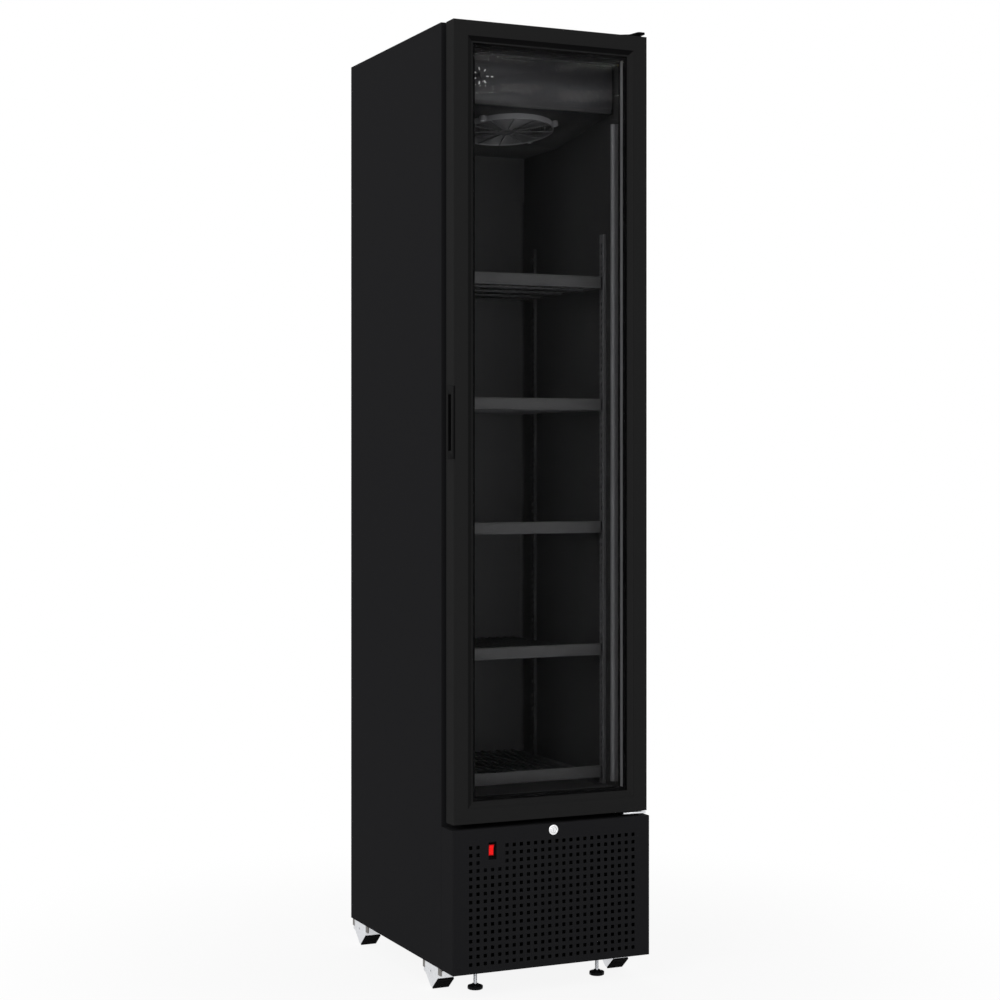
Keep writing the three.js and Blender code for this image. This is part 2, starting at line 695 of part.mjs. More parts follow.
function abovePad(distance) {
  return [distance * PAD_RISE / padLength, distance * PAD_RUN / padLength];
}

function skid() {
  const half = SKID_WIDTH / 2;
  const ear = 3;
  const high = FOOT_HEIGHT - GAP;
  const saddleX = half - 2.8;
  const saddleFront = -44;
  const saddleBack = 54;
  const saddleDrop = 17;
  const front = -PAD_RUN - 0.5;
  const [footY, footZ] = abovePad(PAD_THICK + GAP);
  const [webY, webZ] = abovePad(PAD_THICK + GAP + SKID_SHEET);
  const frontZ = footZ + (footY - front) * PAD_RISE / PAD_RUN;
  const earShape = outline([
    [49, high], [49, 29], [36, 25], [11, 4], [footY + 0.5, footZ - 0.4],
    [front, frontZ], [front, high]]);
  const web = outline([
    [footY, footZ], [webY, webZ], [front + SKID_SHEET, frontZ], [front, frontZ]]);
  const tie = half - ear / 2;
  return cut(
    join(
      barX(earShape, half - ear, half),
      barX(earShape, -half, ear - half),
      barX(web, -tie, tie),
      box(-tie, tie, front, front + SKID_SHEET, frontZ - 0.5, high),
      box(-saddleX, saddleX, saddleFront, saddleBack, high - SKID_SHEET, high),
      box(-saddleX, SKID_SHEET - saddleX, saddleFront, saddleBack, high - saddleDrop, high),
      box(saddleX - SKID_SHEET, saddleX, saddleFront, saddleBack, high - saddleDrop, high)),
    rodX(11, 36, 2.2, -half - 1, half + 1, 8));
}

function skidPad() {
  const [backY, backZ] = abovePad(PAD_THICK);
  const shape = outline([
    [0, 0], [backY, backZ], [backY - PAD_RUN, backZ + PAD_RISE], [-PAD_RUN, PAD_RISE]]);
  return barX(shape, -SKID_WIDTH / 2, SKID_WIDTH / 2);
}

const skidX = sideX - SKID_INSET - SKID_WIDTH / 2;
const skidRows = { front: SKID_FRONT_BACK, rear: BODY_DEPTH - SKID_REAR_IN };
const hands = { left: -1, right: 1 };
for (const [hand, sign] of Object.entries(hands)) {
  for (const [row, y] of Object.entries(skidRows)) {
    add(cabinet, `skid_${row}_${hand}`, skid(), 'zinc', sign * skidX, y, -FOOT_HEIGHT);
    add(cabinet, `skid_pad_${row}_${hand}`, skidPad(), 'blackRubber',
      sign * skidX, y, -FOOT_HEIGHT);
  }
  add(cabinet, `leveller_${hand}`, leveller(), 'blackRubber',
    sign * levellerX, LEVELLER_BACK, -FOOT_HEIGHT);
}

// ---------------------------------------------------------------- shelves

const shelfX = cavityX - SHELF_SIDE_GAP;

// A shelf is drawn with its underside at z = 0 and its price strip's front at y = 0.
function shelf() {
  const front = STRIP_THICK + GAP;
  const back = cavityRear - SHELF_REAR_GAP - SHELF_FRONT;
  const rail = SHELF_BAR;
  const barPitch = (back - SHELF_TAIL - rail - SHELF_BAR_FIRST) / (SHELF_BARS - 1);
  const sink = 0.5;
  const pieces = [
    box(-shelfX, rail - shelfX, front, back, 0, rail),
    box(shelfX - rail, shelfX, front, back, 0, rail),
    box(-shelfX, shelfX, front, front + rail, 0, rail)];
  for (let index = 0; index < SHELF_BARS; index += 1) {
    const y = SHELF_BAR_FIRST + index * barPitch;
    pieces.push(box(-shelfX, shelfX, y, y + rail, 0, rail));
  }
  const pitch = (2 * shelfX - rail) / (SHELF_WIRES + 1);
  for (let index = 1; index <= SHELF_WIRES; index += 1) {
    const x = -shelfX + rail / 2 + index * pitch;
    pieces.push(box(x - SHELF_WIRE / 2, x + SHELF_WIRE / 2, front + 1, back,
      rail - sink, rail - sink + SHELF_WIRE));
  }
  return join(...pieces);
}

function priceStrip() {
  const lip = 2.5;
  const groove = 1.3;
  const high = STRIP_HEIGHT;
  const shape = outline([
    [STRIP_THICK, 0], [STRIP_THICK, high], [0, high], [0, high - lip],
    [groove, high - lip], [groove, lip], [0, lip], [0, 0]]);
  return barX(shape, -shelfX, shelfX);
}

const lowestShelf = cavityFloor + SHELF_LOW - STRIP_HEIGHT;
const highestShelf = cavityTop - SHELF_DROP - STRIP_HEIGHT;
const shelfPitch = (highestShelf - lowestShelf) / (SHELF_COUNT - 1);
const shelfLevels = [];
for (let index = 0; index < SHELF_COUNT; index += 1) {
  shelfLevels.push(lowestShelf + index * shelfPitch);
}
shelfLevels.forEach((z, index) => {
  add(cabinet, `shelf_${index + 1}`, shelf(), 'blackMetal', 0, SHELF_FRONT, z);
  add(cabinet, `price_strip_${index + 1}`, priceStrip(), 'greyStrip', 0, SHELF_FRONT, z);
});

// A pilaster is drawn against a wall at x = 0, facing -x, with its foot at z = 0.
function pilaster() {
  const half = PILASTER_WIDTH / 2;
  const t = PILASTER_SHEET;
  const face = -PILASTER_DEPTH;
  const channel = outline([
    [0, -half], [0, t - half], [face + t, t - half], [face + t, half - t],
    [0, half - t], [0, half], [face, half], [face, -half]]);
  const clipX = shelfX - wallX - SHELF_BAR;
  const clipHalf = CLIP_SIZE / 2;
  const height = cavityTop - PILASTER_DROP - cavityFloor - PILASTER_LOW;
  const pieces = [barZ(channel, 0, height)];
  for (const level of shelfLevels) {
    const top = level - cavityFloor - PILASTER_LOW - GAP;
    pieces.push(box(clipX, face + t / 2, -clipHalf, clipHalf, top - CLIP_SIZE, top));
  }
  return join(...pieces);
}

const pilasterRows = { front: PILASTER_FRONT, rear: cavityRear - PILASTER_REAR };
for (const [hand, sign] of Object.entries(hands)) {
  for (const [row, y] of Object.entries(pilasterRows)) {
    const upright = add(cabinet, `pilaster_${row}_${hand}`, pilaster(), 'blackMetal',
      sign * wallX, y, cavityFloor + PILASTER_LOW);
    upright.rotation.z = sign > 0 ? 0 : Math.PI;
  }
}

// ---------------------------------------------------------------- lamp

function lamp() {
  const wall = LAMP_RADIUS + LAMP_CLEAR;
  const half = LAMP_RADIUS - 0.5;
  const inset = 4;
  const length = cavityTop - LAMP_DROP - cavityFloor - LAMP_LOW;
  const high = length - inset;
  return join(
    rodZ(0, 0, LAMP_RADIUS, 0, length),
    box(-half, wall, -half, half, inset, inset + LAMP_CAP),
    box(-half, wall, -half, half, high - LAMP_CAP, high));
}

add(cabinet, 'led_lamp', lamp(), 'lampWhite',
  wallX - LAMP_RADIUS - LAMP_CLEAR, LAMP_BACK, cavityFloor + LAMP_LOW);

// ---------------------------------------------------------------- evaporator section

// Inside this group y = 0 is the cover's front and z = 0 is the cover's lower edge.
const evaporator = addGroup(cabinet, 0, COVER_FRONT, cavityTop - COVER_HEIGHT);
const coverX = cavityX - COVER_SIDE_GAP;
const coverTop = COVER_HEIGHT - GAP;
const knobZ = COVER_HEIGHT - KNOB_DROP;
const knobX = KNOB_IN - coverX;

function evaporatorCover() {
  const t = COVER_SHEET;
  const lipBack = 5;
  const topFlange = 25;
  const shape = outline([
    [0, coverTop], [0, COVER_LIP], [lipBack, 0], [COVER_FLANGE, 0], [COVER_FLANGE, t],
    [lipBack + 1, t], [t, COVER_LIP + 0.5], [t, coverTop - t],
    [topFlange, coverTop - t], [topFlange, coverTop]]);
  return cut(barX(shape, -coverX, coverX),
    rodY(knobX, knobZ, KNOB_SHAFT + 2 * GAP, -1, t + 1, 12));
}

const slope = THREE.MathUtils.degToRad(DECK_SLOPE);
const deckFront = 7;
const deckFall = (COVER_FLANGE - deckFront) * Math.tan(slope);
const deckHigh = COVER_SHEET + GAP + DECK_SHEET + deckFall;
const deckBreak = deckFront + DECK_SLOPE_LENGTH;
const deckFlat = deckHigh - DECK_SLOPE_LENGTH * Math.tan(slope);
const deckRear = cavityRear - COVER_FRONT - GAP;
const fanZ = deckHigh - (FAN_BACK - deckFront) * Math.tan(slope);
const fanHole = FAN_RADIUS + FAN_CLEAR;
const guardRadius = fanHole + GUARD_RIM;

function dripTray() {
  const t = DECK_SHEET;
  const apron = deckRear - 6;
  const shape = outline([
    [deckFront, deckHigh - t], [deckBreak, deckFlat - t], [apron - t, deckFlat - t],
    [apron - t, deckFlat - DECK_APRON], [apron, deckFlat - DECK_APRON], [apron, deckFlat - t],
    [deckRear, deckFlat - t], [deckRear, deckFlat], [deckBreak, deckFlat],
    [deckFront, deckHigh]]);
  const hole = rodZ(0, 0, fanHole, -2 * fanHole, 2 * fanHole, 28)
    .rotate([-DECK_SLOPE, 0, 0]).translate([0, FAN_BACK, fanZ]);
  return cut(barX(shape, -wallX, wallX), hole);
}

function evaporatorCoil() {
  const width = 2 * (cavityX - EVAPORATOR_SIDE);
  const deep = deckRear - deckBreak - 2 * EVAPORATOR_MARGIN;
  return finBlock(width, deep, EVAPORATOR_HEIGHT, 9, 8);
}

function thermostatBody() {
  const half = 18;
  const halfHeight = 20;
  const length = 26;
  const bore = 12;
  return cut(
    box(-half, half, 0, length, -halfHeight, halfHeight),
    rodY(0, 0, KNOB_SHAFT + GAP, -1, bore, 12));
}

function thermostatKnob() {
  const skirt = 5;
  const waist = 3;
  const gripHalf = 2.2;
  const front = -KNOB_LENGTH;
  const shaftEnd = COVER_SHEET + 10;
  const gripZ = KNOB_RADIUS - 2;
  return join(
    rodY(0, 0, KNOB_RADIUS, -skirt, 0, 20),
    rodY(0, 0, KNOB_RADIUS - waist, front + waist, 1 - skirt, 20),
    box(-gripHalf, gripHalf, front, 1 - skirt, -gripZ, gripZ),
    rodY(0, 0, KNOB_SHAFT, -1, shaftEnd, 12));
}

add(evaporator, 'evaporator_cover', evaporatorCover(), 'blackLiner');
add(evaporator, 'drip_tray', dripTray(), 'blackLiner');
add(evaporator, 'evaporator_coil', evaporatorCoil(), 'aluminium',
  0, deckBreak + EVAPORATOR_MARGIN, deckFlat + GAP);
add(evaporator, 'thermostat_body', thermostatBody(), 'blackSatin',
  knobX, COVER_SHEET + GAP, knobZ);
add(evaporator, 'thermostat_knob', thermostatKnob(), 'blackSatin', knobX, -GAP, knobZ);

// The fan, its motor and its guard are drawn about the fan's axis, square to the sloping
// deck, with z = 0 on the deck's upper side.
const fanMount = addGroup(evaporator, 0, FAN_BACK, fanZ);
fanMount.rotation.x = -slope;
const ARM_LOW = 15;
const ARM_THICK = 3;

function evaporatorFan() {
  const shaftTop = ARM_LOW + ARM_THICK + 8;
  return join(fanWheel(FAN_RADIUS, 24, -7, 11, 5), rodZ(0, 0, FAN_SHAFT, 10, shaftTop, 12));
}

function evaporatorFanMotor() {
  const bodyRadius = 31;
  const bodyHigh = ARM_LOW + 40;
  const armTop = ARM_LOW + ARM_THICK;
  const reach = fanHole + GUARD_RIM / 2;
  const half = 4;
  const pieces = [rodZ(0, 0, bodyRadius, ARM_LOW, bodyHigh, 20)];
  for (const turn of [45, 135, 225, 315]) {
    const arm = join(
      box(0, reach + half, -half, half, ARM_LOW, armTop),
      box(reach - 3, reach + half, -half, half, GAP, armTop));
    pieces.push(arm.rotate([0, 0, turn]));
  }
  return cut(join(...pieces), rodZ(0, 0, FAN_SHAFT + GAP, ARM_LOW - 1, armTop + 10, 12));
}

function fanGuard() {
  const band = 3;
  const high = -DECK_SHEET - GAP;
  const low = high - GUARD_HEIGHT;
  const wireTop = low + GUARD_WIRE;
  const pieces = [
    ringZ(guardRadius - band, guardRadius, low, high, 32),
    rodZ(0, 0, GUARD_HUB, low, wireTop)];
  const ringPitch = (guardRadius - GUARD_HUB) / (GUARD_RINGS + 1);
  for (let index = 1; index <= GUARD_RINGS; index += 1) {
    const radius = GUARD_HUB + index * ringPitch;
    pieces.push(ringZ(radius - GUARD_WIRE, radius, low, wireTop, 16));
  }
  for (let index = 0; index < GUARD_SPOKES; index += 1) {
    const spoke = box(GUARD_HUB - 2, guardRadius - 1,
      -GUARD_WIRE / 2, GUARD_WIRE / 2, low, wireTop);
    pieces.push(spoke.rotate([0, 0, (index + 0.5) * 360 / GUARD_SPOKES]));
  }
  const ear = rodZ(guardRadius + GUARD_LUG_OUT, 0, GUARD_LUG, high - band, high, 8);
  for (const turn of [GUARD_LUG_ANGLE, 180 - GUARD_LUG_ANGLE]) {
    pieces.push(ear.rotate([0, 0, turn]), ear.rotate([0, 0, -turn]));
  }
  return join(...pieces);
}

add(fanMount, 'fan_guard', fanGuard(), 'blackMetal');
add(fanMount, 'evaporator_fan', evaporatorFan(), 'blackMetal');
add(fanMount, 'evaporator_fan_motor', evaporatorFanMotor(), 'blackMetal');

// ---------------------------------------------------------------- condensing unit

// Inside this group z = 0 is just above the base pan's floor.
const machine = addGroup(cabinet, 0, 0, PAN_SHEET + GAP);
const condenserRear = CONDENSER_BACK + CONDENSER_DEPTH;
const coolingFanY = condenserRear + COOLING_FAN_BEHIND;
const MOTOR_FRONT = 16;

function compressor() {
  const r = COMPRESSOR_RADIUS;
  const h = COMPRESSOR_HEIGHT;
  const foot = 12;
  const seam = 2;
  const footX = r + 12;
  const footY = r - 8;
  const shell = turned([
    [0, 0], [r - 8, 0], [r - seam, 8], [r - seam, 0.32 * h], [r + seam, 0.34 * h],
    [r + seam, 0.39 * h], [r - seam, 0.41 * h], [r - seam, 0.7 * h], [0.75 * r, 0.93 * h],
    [0.4 * r, h], [0, h]], 20);
  const pieces = [
    shell.translate([0, 0, foot + 1]),
    box(-footX - foot, footX + foot, -footY - foot, footY + foot, foot - 1, foot + 2)];
  for (const x of [-footX, footX]) {
    for (const y of [-footY, footY]) {
      pieces.push(rodZ(x, y, 9, 0, foot, 8));
    }
  }
  return join(...pieces);
}

function condenserFan() {
  return join(
    fanWheel(COOLING_FAN_RADIUS, 24, -9, 9, 5),
    rodZ(0, 0, FAN_SHAFT, 8, MOTOR_FRONT + 8, 12));
}

// Drawn with the fan's axis along y at x = z = 0 and the motor's front at y = 0.
function condenserFanMotor() {
  const radius = 36;
  const length = 52;
  const sheet = 3;
  const half = 28;
  const foot = 36;
  return cut(
    join(
      rodY(0, 0, radius, 0, length, 20),
      box(-half, half, length - sheet, length, -COOLING_FAN_Z, 0),
      box(-half, half, length - sheet, length + foot, -COOLING_FAN_Z, sheet - COOLING_FAN_Z)),
    rodY(0, 0, FAN_SHAFT + GAP, -1, 11, 12));
}

function condensatePan() {
  const t = CATCH_WALL;
  return cut(
    box(0, CATCH_WIDTH, 0, CATCH_DEPTH, 0, CATCH_HEIGHT),
    box(t, CATCH_WIDTH - t, t, CATCH_DEPTH - t, t, CATCH_HEIGHT + 1));
}

add(machine, 'compressor', compressor(), 'blackMetal',
  sideX - COMPRESSOR_SIDE, BODY_DEPTH - COMPRESSOR_IN);
add(machine, 'condenser_coil',
  finBlock(2 * (sideX - CONDENSER_SIDE), CONDENSER_DEPTH, CONDENSER_HEIGHT, 9, 8),
  'aluminium', 0, CONDENSER_BACK);
add(machine, 'condenser_fan_motor', condenserFanMotor(), 'blackMetal',
  0, coolingFanY + MOTOR_FRONT, COOLING_FAN_Z);
add(machine, 'condensate_pan', condensatePan(), 'blackSatin',
  CATCH_SIDE - sideX, BODY_DEPTH - CATCH_DEPTH - CATCH_REAR);
const coolingFan = add(machine, 'condenser_fan', condenserFan(), 'blackMetal',
  0, coolingFanY, COOLING_FAN_Z);
coolingFan.rotation.x = -Math.PI / 2;

// ---------------------------------------------------------------- hinges

// Both brackets are drawn about the hinge axis.
const bracketRight = HINGE_IN;
const bracketLeft = HINGE_IN - HINGE_PLATE_WIDTH;
const bodyFace = -hingeY;

// z = 0 is the cabinet's top.
function topHingeBracket() {
  const t = HINGE_PLATE;
  const nose = doorFront + HINGE_NOSE_BACK - hingeY;
  const back = bodyFace + TOP_BRACKET_BACK;
  const noseLeft = bracketRight - HINGE_NOSE;
  const r = 6;
  const profile = outline([
    [nose, t], [bodyFace - 2, t], [bodyFace + 2, 0], [back, 0], [back, t],
    [bodyFace + 3.6, t], [bodyFace - 0.4, 2 * t], [nose, 2 * t]]);
  const plan = new THREE.Shape();
  plan.moveTo(bracketRight, back + 1);
  plan.lineTo(bracketLeft, back + 1);
  plan.lineTo(bracketLeft, bodyFace - 3);
  plan.lineTo(noseLeft - 4, bodyFace - 22);
  plan.lineTo(noseLeft, nose + r);
  plan.absarc(noseLeft + r, nose + r, r, Math.PI, 1.5 * Math.PI, false);
  plan.lineTo(bracketRight - r, nose);
  plan.absarc(bracketRight - r, nose + r, r, 1.5 * Math.PI, 2 * Math.PI, false);
  plan.lineTo(bracketRight, back + 1);
  const plate = barX(profile, bracketLeft - 1, bracketRight + 1)
    .intersect(barZ(plan, -1, 3 * t));
  return join(plate,
    rodZ(0, 0, HINGE_BOSS, GAP - DOOR_TOP_STEP, t + 0.5),
    rodZ(0, 0, HINGE_PIN, -DOOR_TOP_STEP - HINGE_PIN_DEPTH, t + 0.5));
}

// z = 0 is the door's underside.
function bottomHingeBracket() {
  const t = HINGE_PLATE;
  const high = -HINGE_DROP;
  const nose = doorFront + HINGE_NOSE_BACK - hingeY;
  const back = bodyFace - GAP;
  return join(
    box(bracketLeft, bracketRight, nose, back, high - t, high),
    box(bracketLeft, bracketRight, bodyFace - t, back, high - t - HINGE_FLANGE, high),
    rodZ(0, 0, HINGE_BOSS, high - 0.5, -GAP),
    rodZ(0, 0, HINGE_PIN, high - 0.5, HINGE_PIN_DEPTH));
}

add(cabinet, 'top_hinge_bracket', topHingeBracket(), 'zinc', hingeX, hingeY, BODY_HEIGHT);
add(cabinet, 'bottom_hinge_bracket', bottomHingeBracket(), 'zinc', hingeX, hingeY, doorLow);

// ---------------------------------------------------------------- door

// Inside the door group y = 0 is the door's front and z = 0 is its underside.
const door = addGroup(cabinet, 0, doorFront, doorLow);
const openX = doorX - frameWidth;
const openLow = frameWidth;
const openHigh = doorHeight - frameWidth;
const glassRear = GLASS_SETBACK + GLASS_UNIT;
const handleReach = DOOR_THICK - HANDLE_BACK;

function slab() {
  return barZ(frontRounded(doorX, 0, DOOR_THICK, DOOR_EDGE), 0, doorHeight, 3);
}

// A picture-frame cutter that narrows from the door's front to the bevel's foot.
function bevelCutter() {
  const slant = FRAME_BEVEL / BEVEL_DEPTH;
  const over = 1;
  const corners = [];
  for (const y of [-over, BEVEL_DEPTH]) {
    const spread = FRAME_LEDGE + (BEVEL_DEPTH - y) * slant;
    const low = openLow - spread;
    const high = openHigh + spread;
    const half = openX + spread;
    corners.push(-half, y, low, half, y, low, half, y, high, -half, y, high);
  }
  const geometry = new THREE.BufferGeometry();
  geometry.setAttribute('position', new THREE.Float32BufferAttribute(corners, 3));
  geometry.setIndex([
    0, 1, 2, 0, 2, 3, 4, 6, 5, 4, 7, 6,
    0, 5, 1, 0, 4, 5, 1, 6, 2, 1, 5, 6,
    2, 7, 3, 2, 6, 7, 3, 4, 0, 3, 7, 4]);
  return solid(geometry);
}

// The handle insert's room in the door's left edge, grown by an assembly gap.
function handleRoom(play) {
  const half = HANDLE_HEIGHT / 2 + play;
  const low = HANDLE_Z - half;
  const high = HANDLE_Z + half;
  return join(
    box(-doorX - 1, -doorX + HANDLE_DEPTH + play, HANDLE_CAP_WIDTH - play,
      handleReach + play, low, high),
    box(-doorX - 1, -doorX + HANDLE_CAP + play, -1, HANDLE_CAP_WIDTH + 1, low, high));
}

function doorFrame() {
  const held = GLASS_HELD + GAP;
  const bore = HINGE_PIN + HINGE_PLAY;
  const boreDepth = HINGE_PIN_DEPTH + 2;
  const boreY = DOOR_THICK / 2;
  const lockDrop = doorLow - LOCK_Z;
  return cut(slab(),
    box(-openX, openX, -1, DOOR_THICK + 1, openLow, openHigh),
    bevelCutter(),
    box(-openX - held, openX + held, GLASS_SETBACK - GAP, glassRear + GAP,
      openLow - held, openHigh + held),
    handleRoom(GAP),
    rodZ(hingeX, boreY, bore, -1, boreDepth),
    rodZ(hingeX, boreY, bore, doorHeight - boreDepth, doorHeight + 1),
    camSlot(lockDrop - 1, camReach + CAM_PLAY).translate([0, -DOOR_SETBACK, -lockDrop]));
}

function glassUnit() {
  const outer = openX + GLASS_HELD;
  const low = openLow - GLASS_HELD;
  const high = openHigh + GLASS_HELD;
  const airX = openX - SPACER_SHOWN;
  const airLow = openLow + SPACER_SHOWN;
  const airHigh = openHigh - SPACER_SHOWN;
  const breather = rodZ(0, GLASS_SETBACK + GLASS_UNIT / 2, 2, airHigh - 2, high + 1, 8);
  return cut(
    box(-outer, outer, GLASS_SETBACK, glassRear, low, high),
    box(-airX, airX, GLASS_SETBACK + PANE, glassRear - PANE, airLow, airHigh),
    breather);
}

function doorGasket() {
  const outer = doorX - GASKET_INSET;
  const inner = outer - GASKET_WIDTH;
  const high = doorHeight - GASKET_INSET;
  const front = DOOR_THICK + GAP;
  const back = -doorFront - SEAL_GAP;
  return cut(
    box(-outer, outer, front, back, GASKET_END, high),
    box(-inner, inner, front - 1, back + 1, GASKET_END + GASKET_WIDTH, high - GASKET_WIDTH));
}

function doorHandle() {
  const half = GRIP_HEIGHT / 2;
  return cut(handleRoom(0).intersect(slab()),
    box(-doorX - 1, -doorX + GRIP_DEPTH, GRIP_FRONT, handleReach - GRIP_WALL,
      HANDLE_Z - half, HANDLE_Z + half));
}

add(door, 'door_frame', doorFrame(), 'blackSatin');
add(door, 'glass_unit', glassUnit(), 'glass');
add(door, 'door_gasket', doorGasket(), 'blackRubber');
add(door, 'door_handle', doorHandle(), 'blackRubber');

export default merchandiser;
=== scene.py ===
"""Glass door merchandiser: a tall slim refrigerated drinks cabinet with a hinged glass door,
wire shelves, a cooling unit under its ceiling and a perforated base panel."""
import json
import math

import bmesh
import bpy
from bpy.props import FloatProperty, FloatVectorProperty, IntProperty, PointerProperty
from mathutils import Matrix, Vector


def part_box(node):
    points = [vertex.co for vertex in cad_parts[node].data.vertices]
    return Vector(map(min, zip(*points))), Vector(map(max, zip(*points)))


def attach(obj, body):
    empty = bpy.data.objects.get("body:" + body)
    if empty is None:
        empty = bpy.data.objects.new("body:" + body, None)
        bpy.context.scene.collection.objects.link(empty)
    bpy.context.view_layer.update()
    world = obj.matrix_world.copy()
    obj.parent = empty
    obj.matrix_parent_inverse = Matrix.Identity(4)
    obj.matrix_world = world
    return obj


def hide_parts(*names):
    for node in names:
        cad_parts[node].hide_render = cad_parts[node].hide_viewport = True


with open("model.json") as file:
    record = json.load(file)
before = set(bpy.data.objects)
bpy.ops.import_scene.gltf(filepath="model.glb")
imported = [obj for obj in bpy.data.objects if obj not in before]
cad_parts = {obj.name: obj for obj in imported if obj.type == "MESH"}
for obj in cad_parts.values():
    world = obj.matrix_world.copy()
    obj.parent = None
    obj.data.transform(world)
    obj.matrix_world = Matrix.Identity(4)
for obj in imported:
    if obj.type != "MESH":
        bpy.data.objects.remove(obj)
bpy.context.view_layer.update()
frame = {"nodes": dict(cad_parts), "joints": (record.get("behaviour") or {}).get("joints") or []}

bl_info = {
    "name": "Glass Door Merchandiser",
    "version": (1, 0, 0),
    "blender": (4, 5, 0),
    "location": "3D View > Sidebar > Merchandiser",
    "description": "Builds the visible pieces, finishes and stage of a slim glass door merchandiser",
    "category": "Object",
}

MM = 0.001
SHELVES = 5
HANDS = {"left": -1, "right": 1}
ROWS = ("front", "rear")
WHITE = (1.0, 1.0, 1.0, 1.0)


class Extent:
    """The box of a CAD node, with a name for each side and middle."""

    def __init__(self, node):
        low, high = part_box(node)
        self.x0, self.y0, self.z0 = low
        self.x1, self.y1, self.z1 = high
        self.x, self.y, self.z = (low + high) / 2


# ---------------------------------------------------------------- sizes and colours


def size(label, default, description):
    """A length in metres that a user can change."""
    return FloatProperty(name=label, description=description, default=default, unit="LENGTH",
                         precision=5)


def count(label, default, description):
    """A whole number of like features."""
    return IntProperty(name=label, description=description, default=default, min=1)


def colour(label, default, description):
    """A linear colour."""
    return FloatVectorProperty(name=label, description=description, default=default, size=3,
                               subtype="COLOR", min=0, max=1)


class DoorSizes(bpy.types.PropertyGroup):
    """Sizes of the door frame, its glass and its seal."""

    flat: size("Flat band", 32 * MM, "Width of the flat band round the door's front")
    bevel: size("Bevel", 10 * MM, "Width of the sloping bead inside the flat band")
    bevel_depth: size("Bevel depth", 5.5 * MM, "How far the bead falls back")
    ledge: size("Ledge", 3.5 * MM, "Width of the step between the bead and the glass")
    edge: size("Edge rounding", 2 * MM, "Radius of the door's front edges")
    pane: size("Pane", 4 * MM, "Thickness of each pane")
    border: size("Spacer band", 7 * MM, "Width of the black band seen round the glass")
    clearance: size("Assembly gap", 0.3 * MM, "Gap between pieces that fit together")


class PanelSizes(bpy.types.PropertyGroup):
    """Sizes of the perforated base panel."""

    hole: size("Vent hole", 7.8 * MM, "Side of each square vent hole")
    corner: size("Hole corner", 0.7 * MM, "Corner radius of each vent hole")
    pitch_x: size("Column pitch", 16.5 * MM, "Distance between hole columns")
    pitch_z: size("Row pitch", 16.1 * MM, "Distance between hole rows")
    low: size("Lowest row", 19.5 * MM, "Panel bottom to the middle of the lowest row")
    margin_x: size("Side margin", 36 * MM, "Plain sheet kept at each side of the holes")
    margin_top: size("Top margin", 28 * MM, "Plain sheet kept above the holes")
    sheet: size("Sheet", 1.2 * MM, "Thickness of the sheet")
    bend: size("Bend", 3 * MM, "Outside radius of the side bends")
    cutout_x: size("Cutout width", 18.4 * MM, "Width of the switch cutout")
    cutout_z: size("Cutout height", 37 * MM, "Height of the switch cutout")


class ShelfSizes(bpy.types.PropertyGroup):
    """Sizes of the wire shelves and the uprights that carry them."""

    rail: size("Rail", 6 * MM, "Diameter of the side rails and cross bars")
    wire: size("Wire", 4 * MM, "Diameter of the lengthwise wires")
    wires: count("Wires", 17, "Lengthwise wires on each shelf")
    first_bar: size("First bar", 79 * MM, "Price strip to the first cross bar")
    bars: count("Bars", 4, "Cross bars under each shelf")
    tail: size("Wire tail", 9 * MM, "Length of wire behind the last cross bar")
    slot_pitch: size("Slot pitch", 16 * MM, "Distance between the slots of an upright")
    slot_height: size("Slot height", 9 * MM, "Height of each slot")
    slot_width: size("Slot width", 5 * MM, "Width of each slot")


class FanSizes(bpy.types.PropertyGroup):
    """Sizes of the fan wheels and the wire guard."""

    evaporator: size("Evaporator wheel", 84 * MM, "Radius of the wheel over the shelves")
    condenser: size("Condenser wheel", 92 * MM, "Radius of the wheel behind the base panel")
    shaft: size("Shaft", 3 * MM, "Radius of each wheel's shaft")
    blades: count("Blades", 5, "Blades on each wheel")
    hub: size("Hub", 24 * MM, "Radius of each wheel's hub")
    rings: count("Rings", 16, "Wire rings in the guard")
    spokes: count("Spokes", 12, "Radial wires in the guard")
    wire: size("Guard wire", 2.2 * MM, "Diameter of the guard's wires")
    guard: size("Guard", 104 * MM, "Radius of the guard's rim")


